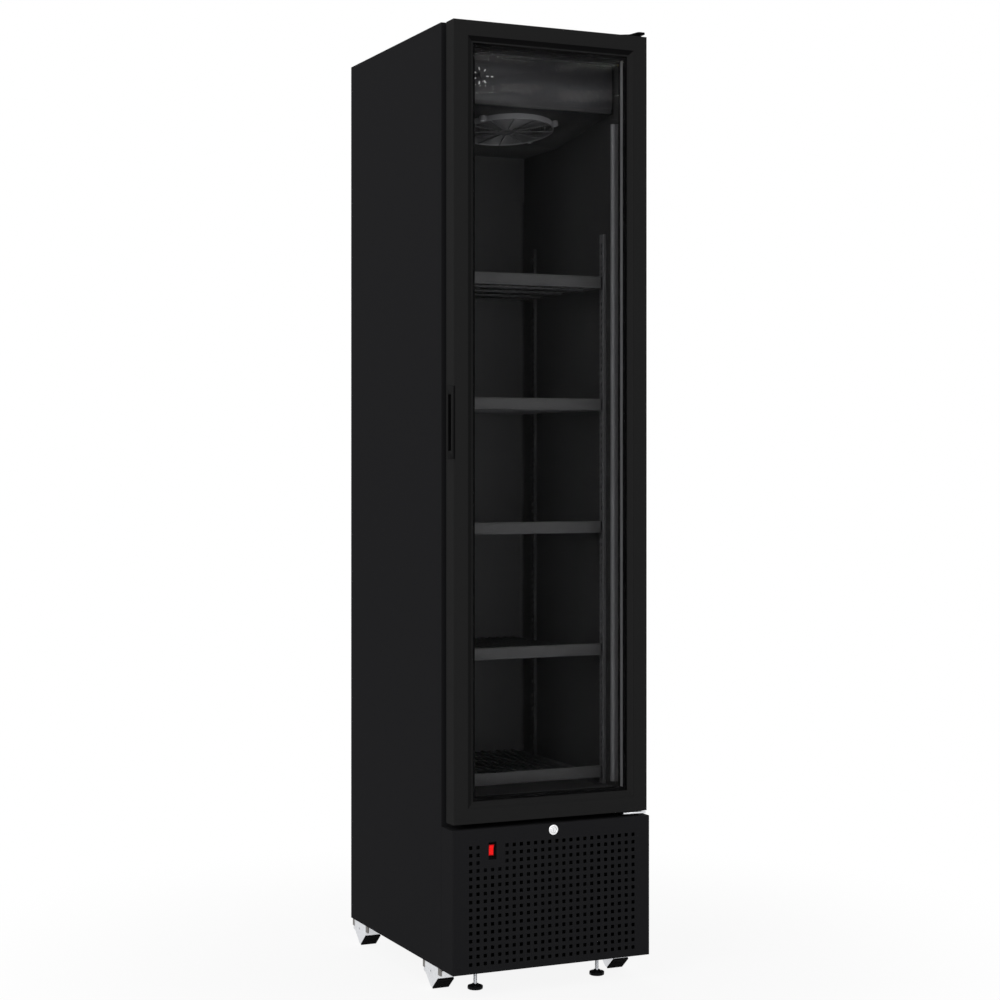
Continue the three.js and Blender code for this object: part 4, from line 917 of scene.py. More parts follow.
def upright_painted_light(colours):
    """Painted light: a lighter copy of the uprights' coat for the two uprights next to the door, where
    more light falls.
    """
    lighter = [1.5 * value for value in colours.upright]
    made = Finish("grey_coated_upright", lighter, 0.45, specular=0.2)
    return made.uneven(12.0, 0.1).grained(1200.0, 0.02 * MM).done()


def lamp_frost(colours):
    """Frosted lamp cover, unlit."""
    made = Finish("frosted_lamp_cover", colours.lamp, 0.5, specular=0.3)
    return made.uneven(10.0, 0.08).grained(2400.0, 0.01 * MM).done()


def spacer_metal(colours):
    """Drawn and coated aluminium between the panes."""
    made = Finish("spacer_aluminium", colours.spacer, 0.5, specular=0.1)
    return made.uneven(20.0, 0.08).brushed(1800.0, 0.01 * MM).done()


def fin_metal(colours):
    """Thin aluminium fins."""
    made = Finish("aluminium_fins", colours.fins, 0.42, metallic=0.9)
    return made.uneven(30.0, 0.3).dusty(0.2).brushed(1200.0, 0.03 * MM).done()


def dark_fins(colours):
    """Black lacquered fins of the condenser."""
    made = Finish("lacquered_fins", colours.lacquer, 0.6, specular=0.05)
    return made.uneven(30.0, 0.3).dusty(0.2).brushed(1200.0, 0.03 * MM).done()


def enamel_black(colours):
    """Black enamel of the compressor and the motors."""
    made = Finish("black_enamel", colours.enamel, 0.36, specular=0.16)
    return made.uneven(12.0, 0.25).worn((0.06, 0.055, 0.05), 70.0, 0.5).dusty(0.2).grained(
        600.0, 0.04 * MM, 1.6).done()


def moulded_black(colours):
    """Black moulded plastic of the small fittings."""
    made = Finish("black_moulding", colours.moulding, 0.5, specular=0.06)
    return made.uneven(20.0, 0.2).dusty(0.03).grained(1700.0, 0.015 * MM).done()


def red_lens(colours):
    """Clear red rocker, glossy and a little deep."""
    made = Finish("red_rocker_lens", colours.lens, 0.3, specular=0.15)
    made.shader.inputs["Emission Color"].default_value = (*colours.lens, 1.0)
    made.shader.inputs["Emission Strength"].default_value = 0.45
    return made.uneven(80.0, 0.16).grained(2600.0, 0.01 * MM).done()


def red_body(colours):
    """Deep red body of the rocker."""
    made = Finish("red_rocker_body", colours.rocker, 0.35, specular=0.1)
    return made.uneven(80.0, 0.16).grained(2600.0, 0.01 * MM).done()


def printed_white(colours):
    """White marks printed on the cover."""
    made = Finish("white_dial_print", colours.print_white, 0.55, specular=0.3)
    return made.uneven(200.0, 0.2).grained(3000.0, 0.01 * MM).done()


def foam_cream(colours):
    """Rigid foam inside the walls."""
    made = Finish("rigid_foam", colours.foam, 0.9, specular=0.2)
    return made.uneven(25.0, 0.4).grained(300.0, 0.6 * MM).done()


def clear_glass(colours):
    """Float glass: light passes to what is behind it, and only a faint sheen stays on it."""
    made = Finish("clear_glass", colours.glass, 0.03, specular=0.5)
    made.shader.inputs["Transmission Weight"].default_value = 1.0
    made.shader.inputs["IOR"].default_value = 1.04
    made.smudged(0.02, 5.0).done()
    graph = made.graph
    path = graph.node("ShaderNodeLightPath")
    passing = graph.math("MAXIMUM", path.outputs["Is Shadow Ray"], path.outputs["Is Diffuse Ray"])
    made.give_way(passing, graph.node("ShaderNodeBsdfTransparent"))
    return made.material


def pale_floor(colours):
    """Pale studio floor that reads as white and keeps the shadow near the feet."""
    made = Finish("studio_floor", colours.floor, 0.7, specular=0.1)
    made.uneven(1.5, 0.02).done()
    graph = made.graph
    reach = graph.node("ShaderNodeVectorMath", operation="LENGTH")
    graph.feed(reach.inputs[0], graph.place())
    share = graph.span(reach.outputs["Value"], 0.4, 1.5, 0.9, 1.0)
    glow = graph.node("ShaderNodeEmission")
    glow.inputs[0].default_value = WHITE
    made.give_way(graph.math("MULTIPLY", graph.seen(), share), glow)
    return made.material


FINISHES = {}


def finish(make):
    """The material that a finish function makes, made once."""
    made = FINISHES.get(make.__name__)
    if made is None:
        made = FINISHES[make.__name__] = make(setting("colours"))
    return made


# ---------------------------------------------------------------- shared shapes


def punched(bm, across, up, place, is_open=lambda i, j: False):
    """A skin of cells between grid lines, left open where is_open says; place(u, v) gives a point."""
    rows = [[bm.verts.new(place(u, v)) for u in across] for v in up]
    for j, (lower, upper) in enumerate(zip(rows, rows[1:])):
        for i in range(len(across) - 1):
            if not is_open(i, j):
                bm.faces.new((lower[i], lower[i + 1], upper[i + 1], upper[i]))


def holed_cell(bm, x0, x1, z0, z1, y, half, corner):
    """Adds a flat cell of sheet with a rounded square hole in its middle."""
    x, z = (x0 + x1) / 2, (z0 + z1) / 2
    outer = [bm.verts.new((u, y, v)) for u, v in ((x1, z0), (x1, z1), (x0, z1), (x0, z0))]
    inside = rounded_outline(x - half, x + half, z - half, z + half, corner, 2)
    inner = [bm.verts.new((u, y, v)) for u, v in inside]
    per_corner = len(inner) // 4
    for index, corner_vertex in enumerate(outer):
        first = index * per_corner
        last = first + per_corner - 1
        for step in range(first, last):
            bm.faces.new((corner_vertex, inner[step + 1], inner[step]))
        following = outer[(index + 1) % 4]
        bm.faces.new((corner_vertex, following, inner[(last + 1) % len(inner)], inner[last]))


def screw_head(radius, height):
    """A domed cross-recessed screw head about Z, sunk a little below z = 0."""
    part = bmesh.new()
    steps = 40
    sunk = -0.3 * MM
    shares = (0.12, 0.24, 0.36, 0.48, 0.6, 0.72, 0.86, 1.0)
    arm, reach = 0.17, 0.62

    def level(share, turn):
        dome = height * (1 - 0.55 * share ** 2.4)
        u, v = abs(share * math.cos(turn)), abs(share * math.sin(turn))
        in_arm = share < reach and (u < arm or v < arm)
        return dome - (0.55 * height if in_arm else 0)

    middle = part.verts.new((0, 0, level(0, 0)))
    rings = []
    for share in shares:
        rings.append([part.verts.new((radius * share * math.cos(turn),
                                      radius * share * math.sin(turn), level(share, turn)))
                      for turn in full_turn(steps)])
    rings.append([part.verts.new((corner.co.x, corner.co.y, sunk)) for corner in rings[-1]])
    foot = part.verts.new((0, 0, sunk))
    for step in range(steps):
        after = (step + 1) % steps
        part.faces.new((middle, rings[0][step], rings[0][after]))
        part.faces.new((foot, rings[-1][after], rings[-1][step]))
        for inner, outer in zip(rings, rings[1:]):
            part.faces.new((inner[step], outer[step], outer[after], inner[after]))
    return part


def facing(direction, place):
    """The matrix that stands a part drawn along +Z on a point, facing a direction."""
    turn = Vector(direction).to_track_quat("Z", "Y").to_matrix().to_4x4()
    return Matrix.Translation(place) @ turn


def screws(name, places, direction, radius, height, body="cabinet", coat=bright_zinc,
           slot="zinc_plate"):
    """Makes a set of like screws that face one way."""
    bm = bmesh.new()
    copies(bm, screw_head(radius, height), [facing(direction, place) for place in places])
    piece(name, bm, finish(coat), body, slot, crease=50)


def joint_frame(name):
    """The matrix that puts a piece drawn about Z on a joint's axis."""
    joint = next(row for row in frame["joints"] if row["name"] == name)
    return facing(joint["axis"], Vector(joint["pos_m"]))


def fan_wheel(bm, tip, low, high, shaft_end):
    """Adds a moulded wheel about Z with curved, twisted blades and a domed hub."""
    sizes = setting("fan")
    hub, blades = sizes.hub, sizes.blades
    turned(bm, [(0, low), (hub - 6 * MM, low), (hub - 1.5 * MM, low + 2 * MM), (hub, low + 5 * MM),
                (hub, high), (hub - 3 * MM, high), (hub - 3 * MM, low + 7 * MM), (0, low + 7 * MM)],
           (0, 0, 0), steps=48)
    turned(bm, round_profile(sizes.shaft, low + 6 * MM, shaft_end, 0.5 * MM), (0, 0, 0), steps=20)
    along, round_steps = 9, 10
    thick = 1.6 * MM
    middle = (low + high) / 2
    for start in full_turn(blades):
        sides = []
        for face in (-1, 1):
            grid = []
            for i in range(along + 1):
                share = i / along
                reach = hub - 1 * MM + (tip - hub + 1 * MM) * share
                sweep = math.radians(21 + 9 * math.sin(math.pi * 0.55 * share))
                pitch = math.radians(34 - 15 * share)
                row = []
                for j in range(round_steps + 1):
                    part = 2 * j / round_steps - 1
                    turn = start + sweep * part + 0.16 * share
                    rise = -math.tan(pitch) * sweep * part * reach * 0.55
                    camber = 1.6 * MM * (1 - part ** 2)
                    level = middle + rise + camber
                    level += face * thick / 2 * (1 - 0.7 * abs(part) ** 3)
                    row.append(bm.verts.new((reach * math.cos(turn), reach * math.sin(turn), level)))
                grid.append(row)
            sides.append(grid)
        lower, upper = sides
        for i in range(along):
            for j in range(round_steps):
                bm.faces.new((lower[i][j], lower[i][j + 1], lower[i + 1][j + 1], lower[i + 1][j]))
                bm.faces.new((upper[i][j], upper[i + 1][j], upper[i + 1][j + 1], upper[i][j + 1]))
            for j in (0, round_steps):
                bm.faces.new((lower[i][j], lower[i + 1][j], upper[i + 1][j], upper[i][j]))
        for j in range(round_steps):
            for i in (0, along):
                bm.faces.new((lower[i][j], lower[i][j + 1], upper[i][j + 1], upper[i][j]))


# ---------------------------------------------------------------- cabinet


class MERCH_OT_skin(bpy.types.Operator):
    """Finishes the steel skin, the base pan and the frame round the cabinet's opening"""

    bl_idname = "merchandiser.skin"
    bl_label = "Steel skin"

    def execute(self, context):
        for hand in HANDS:
            keep("side_panel_" + hand, finish(powder_coat))
        keep("top_panel", finish(powder_coat), 0.4 * MM)
        keep("base_pan", finish(deep_black), 0.4 * MM)
        pan = Extent("base_pan")
        inset, sheet, drop = 1 * MM, 1.5 * MM, 4 * MM
        near = pan.y0 + 0.4 * MM
        bm = bmesh.new()
        soft_block(bm, pan.x0 + inset, pan.x1 - inset, near, near + sheet, pan.z0 - drop,
                   pan.z0 + 0.6 * MM, 0.3 * MM)
        piece("base_pan_hem", bm, finish(deep_black), "cabinet", "black_paint")
        keep("face_frame", finish(frame_black), 0.5 * MM)
        keep("insulation", finish(foam_cream))
        return {"FINISHED"}


class MERCH_OT_rear(bpy.types.Operator):
    """Builds the rear panel with its pressed air slots, its screws and the cord gland"""

    bl_idname = "merchandiser.rear"
    bl_label = "Rear panel"

    def execute(self, context):
        rear = Extent("rear_panel")
        gland = Extent("cord_gland")
        face = rear.y1 - 0.75 * MM
        half_slot = 75 * MM
        first, pitch, tall = 75, 28, 9
        columns = [(side * rear.x1 / 2 - half_slot, side * rear.x1 / 2 + half_slot)
                   for side in (-1, 1)]
        rows = [(rear.z0 + (first + pitch * row) * MM, rear.z0 + (first + tall + pitch * row) * MM)
                for row in range(7)]
        across = sorted([rear.x0, rear.x1] + [x for pair in columns for x in pair])
        up = sorted([rear.z0, rear.z1] + [z for pair in rows for z in pair])
        bm = bmesh.new()
        punched(bm, across, up, lambda x, z: (x, face, z), lambda i, j: i in (1, 3) and j % 2 == 1)
        panel = piece("rear_panel_sheet", bm, finish(powder_coat), "cabinet", "black_paint",
                      "rear_panel")
        sheet = 0.8 * MM
        thicken(panel, sheet, (0, 1, 0))
        carve(panel, bore_tool((gland.x, 0, gland.z), "Y", 8 * MM, face - 9 * MM, face + 9 * MM))

        bm = bmesh.new()
        reach = 7 * MM
        for x0, x1 in columns:
            for _, slot_top in rows:
                centre = (face - sheet / 2, slot_top - reach)
                lip = arc(centre, reach, 90, 180, 6) + arc(centre, reach - sheet, 180, 90, 6)
                prism(bm, lip, "X", x0, x1)
        piece("rear_louvres", bm, finish(powder_coat), "cabinet", "black_paint")

        side, low, top = rear.x1 - 8 * MM, rear.z0 + 12 * MM, rear.z1 - 9 * MM
        heights = [low + (top - low) * step / 7 for step in range(8)]
        places = [(x, face, z) for x in (-side, side) for z in heights]
        places += [(x, face, z) for x in (-0.4 * side, 0.4 * side) for z in (heights[0], top)]
        screws("rear_screws", places, (0, 1, 0), 3.6 * MM, 0.7 * MM)

        bm = bmesh.new()
        bore, barrel = 4 * MM, 7.5 * MM
        ring_of(bm, [(bore, gland.y0), (barrel - 1 * MM, gland.y0), (barrel, gland.y0 + 1 * MM),
                     (barrel, gland.y1 - 1.5 * MM), (barrel - 1.5 * MM, gland.y1), (bore, gland.y1)],
                (gland.x, 0, gland.z), "Y", 32)
        prism(bm, hexagon((gland.x, gland.z), 11.8 * MM), "Y", gland.y1 - 5.3 * MM,
              gland.y1 - 1.5 * MM)
        piece("cord_gland_moulding", bm, finish(tyre_rubber), "cabinet", "black_rubber", "cord_gland",
              bevel=0.4 * MM)
        return {"FINISHED"}


class MERCH_OT_liner(bpy.types.Operator):
    """Builds the moulded inner liner with rounded corners"""

    bl_idname = "merchandiser.liner"
    bl_label = "Inner liner"

    def execute(self, context):
        liner = Extent("inner_liner")
        wall = 2 * MM
        bm = bmesh.new()
        faces = block(bm, liner.x0 + wall, liner.x1 - wall, liner.y0, liner.y1 - wall,
                      liner.z0 + wall, liner.z1 - wall)
        mouth = min(faces, key=lambda face: face.calc_center_median().y)
        bmesh.ops.delete(bm, geom=[mouth], context="FACES_ONLY")
        inner = [edge for edge in bm.edges if len(edge.link_faces) == 2]
        bmesh.ops.bevel(bm, geom=inner, offset=9 * MM, segments=6, profile=0.5, affect="EDGES")
        made = piece("inner_liner_moulding", bm, finish(liner_black), "cabinet", "black_liner",
                     "inner_liner", crease=40)
        thicken(made, wall, (0, 1, 0), 1)
        smooth(made.data, 40)
        return {"FINISHED"}


# ---------------------------------------------------------------- base panel


class MERCH_OT_base_panel(bpy.types.Operator):
    """Builds the perforated base panel with its switch cutout, its folded lips and its screws"""

    bl_idname = "merchandiser.base_panel"
    bl_label = "Base panel"

    def execute(self, context):
        sizes = setting("panel")
        panel = Extent("base_panel")
        rocker = Extent("rocker")
        lock = Extent("lock_body")
        y = panel.y0
        pitch_x, pitch_z = sizes.pitch_x, sizes.pitch_z
        field = panel.x1 - panel.x0 - 2 * sizes.margin_x - sizes.hole
        rise = panel.z1 - panel.z0 - sizes.margin_top - sizes.hole / 2 - sizes.low
        slack = 1e-6
        columns = math.floor(field / pitch_x + slack) + 1
        rows = math.floor(rise / pitch_z + slack) + 1
        left = panel.x - columns / 2 * pitch_x
        low = panel.z0 + sizes.low - pitch_z / 2
        grid_x = [left + column * pitch_x for column in range(columns + 1)]
        grid_z = [low + row * pitch_z for row in range(rows + 1)]
        switch_x, switch_z = rocker.x, panel.z0 + 252 * MM
        plain_x, plain_z = 9 * MM, 4.5 * MM

        def near_switch(x, z):
            return (abs(x - switch_x) < (sizes.cutout_x + sizes.hole) / 2 + plain_x
                    and abs(z - switch_z) < (sizes.cutout_z + sizes.hole) / 2 + plain_z)

        bm = bmesh.new()
        for x0, x1 in zip(grid_x, grid_x[1:]):
            for z0, z1 in zip(grid_z, grid_z[1:]):
                if near_switch((x0 + x1) / 2, (z0 + z1) / 2):
                    corners = ((x0, z0), (x1, z0), (x1, z1), (x0, z1))
                    bm.faces.new([bm.verts.new((x, y, z)) for x, z in corners])
                else:
                    holed_cell(bm, x0, x1, z0, z1, y, sizes.hole / 2, sizes.corner)
        # Plain sheet round the holes, and the two sides bent back.
        bend = sizes.bend
        flat = [panel.x0 + bend] + grid_x + [panel.x1 - bend]
        for levels in ([panel.z0, grid_z[0]], [grid_z[-1], panel.z1]):
            punched(bm, flat, levels, lambda x, z: (x, y, z))
        for sides in (flat[:2], flat[-2:]):
            punched(bm, sides, grid_z, lambda x, z: (x, y, z))
        route = arc((panel.x0 + bend, y + bend), bend, 270, 180, 5) + [(panel.x0, panel.y1)]
        for side in (1, -1):
            line = [(side * x, depth) for x, depth in route]
            punched(bm, line, [panel.z0] + grid_z + [panel.z1], lambda p, z: (p[0], p[1], z))
        made = piece("base_panel_sheet", bm, finish(powder_coat), "cabinet", "black_paint",
                     "base_panel")
        thicken(made, sizes.sheet, (0, -1, 0))
        through = (y - 5 * MM, y + 5 * MM)
        half_x, half_z = sizes.cutout_x / 2, sizes.cutout_z / 2
        cutout = bmesh.new()
        prism(cutout, rounded_outline(switch_x - half_x, switch_x + half_x, switch_z - half_z,
                                      switch_z + half_z, 1.2 * MM), "Y", *through)
        carve(made, cutout, bore_tool((lock.x, 0, lock.z), "Y", 9.6 * MM, *through))

        bm = bmesh.new()
        inside = panel.x1 - sizes.sheet - 0.05 * MM
        back = y + sizes.sheet
        pan = Extent("base_pan")
        soft_block(bm, -inside, inside, back, panel.y1, panel.z1 - sizes.sheet, panel.z1, 0.3 * MM)
        soft_block(bm, -inside, inside, back, pan.y0 - 0.3 * MM, panel.z0, panel.z0 + sizes.sheet,
                   0.3 * MM)
        lips = piece("base_panel_lips", bm, finish(powder_coat), "cabinet", "black_paint")
        hinge = Extent("bottom_hinge_bracket")
        cam = Extent("lock_cylinder")
        levels = (panel.z1 - 6 * MM, panel.z1 + 6 * MM)
        notch = block_tool(-inside - 5 * MM, inside + 5 * MM, hinge.y1 - 5 * MM, panel.y1 + 5 * MM,
                           *levels)
        slot = block_tool(lock.x - 35 * MM, lock.x + 6.5 * MM, cam.y1 - 4 * MM, cam.y1 + 1.5 * MM,
                          *levels)
        carve(lips, notch, slot)

        inset = 12 * MM
        places = [(x, y, panel.z0 + inset) for x in (panel.x0 + inset, panel.x1 - inset)]
        screws("base_panel_screws", places, (0, -1, 0), 2.6 * MM, 0.8 * MM, coat=powder_coat,
               slot="black_paint")
        return {"FINISHED"}


class MERCH_OT_switch(bpy.types.Operator):
    """Builds the red rocker with its window and finishes the switch's body and plate"""

    bl_idname = "merchandiser.switch"
    bl_label = "Rocker switch"

    def execute(self, context):
        keep("switch_body", finish(moulded_black), 0.5 * MM)
        keep("switch_plate", finish(powder_coat), 0.2 * MM)
        rocker = Extent("rocker")
        pivot = joint_frame("switch_rock").translation
        half, pin = 6.2 * MM, 7.4 * MM
        end, deep = 12 * MM, 3 * MM

        def front(z):
            return pivot.y - 7 * MM - 3 * MM * max(0.0, z / end) ** 1.4

        heights = [end * (k / 6 - 1) for k in range(13)]
        outline = [(front(z), pivot.z + z) for z in heights]
        outline += [(pivot.y - deep, pivot.z + end), (pivot.y + deep, pivot.z + end / 2),
                    (pivot.y + deep, pivot.z - end / 2)]
        bm = bmesh.new()
        prism(bm, outline, "X", rocker.x - half, rocker.x + half)
        turned(bm, round_profile(1.5 * MM, rocker.x - pin, rocker.x + pin, 0.2 * MM),
               (0, pivot.y, pivot.z), "X", 20)
        piece("rocker_moulding", bm, finish(red_body), "rocker", "red_lens", "rocker", bevel=0.6 * MM,
              steps=3, crease=40)

        bm = bmesh.new()
        lens = [z for z in heights if abs(z) < 11 * MM]
        outline = [(front(z) - 0.35 * MM, pivot.z + z) for z in lens]
        outline += [(front(z) + 0.6 * MM, pivot.z + z) for z in reversed(lens)]
        prism(bm, outline, "X", rocker.x - 4.8 * MM, rocker.x + 4.8 * MM)
        piece("rocker_window", bm, finish(red_lens), "rocker", "red_lens", bevel=0.25 * MM, crease=40)
        return {"FINISHED"}


class MERCH_OT_lock(bpy.types.Operator):
    """Builds the plated cam lock: its flanged body, its keyed cylinder and its cam"""

    bl_idname = "merchandiser.lock"
    bl_label = "Door lock"

    def execute(self, context):
        body = Extent("lock_body")
        inside = Extent("lock_cylinder")
        x, z = body.x, body.z
        flange, barrel, bore, plug = 10.7 * MM, 9.2 * MM, 6.7 * MM, 6.4 * MM
        front, under = body.y0, body.y0 + 1.2 * MM
        bm = bmesh.new()
        ring_of(bm, [(bore, front + 0.4 * MM), (bore + 0.4 * MM, front), (flange - 1.1 * MM, front),
                     (flange - 0.3 * MM, front + 0.35 * MM), (flange, front + 0.8 * MM),
                     (flange, under), (barrel, under), (barrel, body.y1), (bore, body.y1)],
                (x, 0, z), "Y", 64)
        piece("lock_flange", bm, finish(chrome_plate), "cabinet", "chrome_lock", "lock_body",
              crease=40)

        bm = bmesh.new()
        start, end = inside.y0, inside.y1
        turned(bm, [(0, start), (plug - 0.5 * MM, start), (plug, start + 0.5 * MM),
                    (plug, end - 0.4 * MM), (plug - 0.4 * MM, end), (0, end)],
               (x, 0, z), "Y", 56)
        cylinder = piece("lock_plug", bm, finish(chrome_plate), "lock_cylinder", "chrome_lock",
                         "lock_cylinder", crease=40)
        key = bmesh.new()
        soft_block(key, x - 1 * MM, x + 1 * MM, start - 1 * MM, start + 3 * MM, z - 3.75 * MM,
                   z + 3.75 * MM, 0.25 * MM)
        carve(cylinder, key, crease=40)
        bm = bmesh.new()
        half, reach = 5 * MM, 29 * MM
        outline = arc((x - reach, z), half, 90, 270, 10)
        outline += [(x + half, z - half), (x + half, z + half)]
        prism(bm, outline, "Y", end - 2.5 * MM, end)
        piece("lock_cam", bm, finish(bright_zinc), "lock_cylinder", "chrome_lock", bevel=0.3 * MM)
        return {"FINISHED"}


# ---------------------------------------------------------------- feet


class MERCH_OT_feet(bpy.types.Operator):
    """Finishes the folded skids and builds their tabs, ribbed rubber pads and two screw feet"""

    bl_idname = "merchandiser.feet"
    bl_label = "Skids and screw feet"

    def execute(self, context):
        for hand in HANDS:
            for row in ROWS:
                keep(f"skid_{row}_{hand}", finish(zinc_plate), 0.35 * MM)
                self.pad(f"skid_pad_{row}_{hand}")
                self.tabs(f"skid_{row}_{hand}")
            self.screw_foot("leveller_" + hand)
        return {"FINISHED"}

    def tabs(self, node):
        """Darker strips at the front and rear ends of a skid's side plates, standing for its folded
        tabs: painted shade.
        """
        extent = Extent(node)
        proud, inset, deep = 0.1 * MM, 2.8 * MM, 17 * MM
        front, back = 14 * MM, 12 * MM
        bm = bmesh.new()
        for x0, x1 in ((extent.x0 - proud, extent.x0 + inset), (extent.x1 - inset, extent.x1 + proud)):
            for y0, y1 in ((extent.y0, extent.y0 + front), (extent.y1 - back, extent.y1)):
                soft_block(bm, x0, x1, y0, y1, extent.z1 - deep, extent.z1, 0.3 * MM)
        piece(node + "_tabs", bm, finish(shaded_fold_zinc), "cabinet", "zinc_plate")

    def pad(self, node):
        """Rubber pad with cross ribs on its sloping underside."""
        extent = Extent(node)
        thick = 3 * MM
        run, rise = 29 * MM, 24 * MM
        length = math.hypot(run, rise)
        ahead = Vector((-run, rise)) / length
        over = Vector((rise, run)) / length
        edge = Vector((extent.y0 + run, extent.z0))
        ribs = 8
        pitch = length / ribs
        groove = 1.1 * MM
        outline = []
        for rib in range(ribs):
            start = rib * pitch
            for along, deep in ((0, 0), (0.62, 0), (0.68, groove), (0.94, groove)):
                if rib == ribs - 1 and along > 0.65:
                    continue
                outline.append(edge + ahead * (start + along * pitch) + over * deep)
        outline.append(edge + ahead * length)
        outline.append(edge + ahead * length + over * thick)
        outline.append(edge + over * thick)
        bm = bmesh.new()
        prism(bm, outline, "X", extent.x0, extent.x1)
        piece(node + "_ribbed", bm, finish(tyre_rubber), "cabinet", "black_rubber", node,
              bevel=0.2 * MM)

    def screw_foot(self, node):
        """Scalloped disc, lock nut and threaded stud."""
        extent = Extent(node)
        centre = (extent.x, extent.y, 0)
        radius = 16.5 * MM
        disc_top, nut_top = 9 * MM, 11.5 * MM

        def scallop(turn, reach):
            share = max(0.0, reach / radius - 0.85) / 0.15
            return reach * (1 - 0.055 * share * (0.5 + 0.5 * math.cos(12 * turn)))

        bm = bmesh.new()
        turned(bm, [(0, 0), (radius - 2 * MM, 0), (radius - 0.6 * MM, 0.7 * MM), (radius, 2 * MM),
                    (radius, 6.6 * MM), (radius - 0.8 * MM, 7.6 * MM),
                    (radius - 5 * MM, disc_top - 0.4 * MM), (9 * MM, disc_top), (0, disc_top)],
               centre, steps=96, shape=scallop)
        piece(node + "_disc", bm, finish(moulded_black), node, "foot_plastic", node, crease=50)

        bm = bmesh.new()
        prism(bm, hexagon((extent.x, extent.y), 8 * MM), "Z", disc_top - 0.3 * MM, nut_top)
        piece(node + "_nut", bm, finish(moulded_black), node, "foot_plastic", bevel=0.7 * MM)

        bm = bmesh.new()
        crest, pitch = 4 * MM, 1.5 * MM
        root = crest - 0.7 * MM
        start, stop = nut_top - 1 * MM, extent.z1
        turns = int((stop - start - 1 * MM) / pitch)
        profile = [(0, start)]
        for turn in range(turns):
            z = start + turn * pitch
            profile += [(root, z), (crest, z + 0.45 * pitch), (crest, z + 0.55 * pitch)]
        profile += [(root, start + turns * pitch), (root - 0.2 * MM, stop), (0, stop)]
        turned(bm, profile, centre, steps=28)
        piece(node + "_stud", bm, finish(bright_zinc), node, "zinc_plate", crease=25)


# ---------------------------------------------------------------- shelves


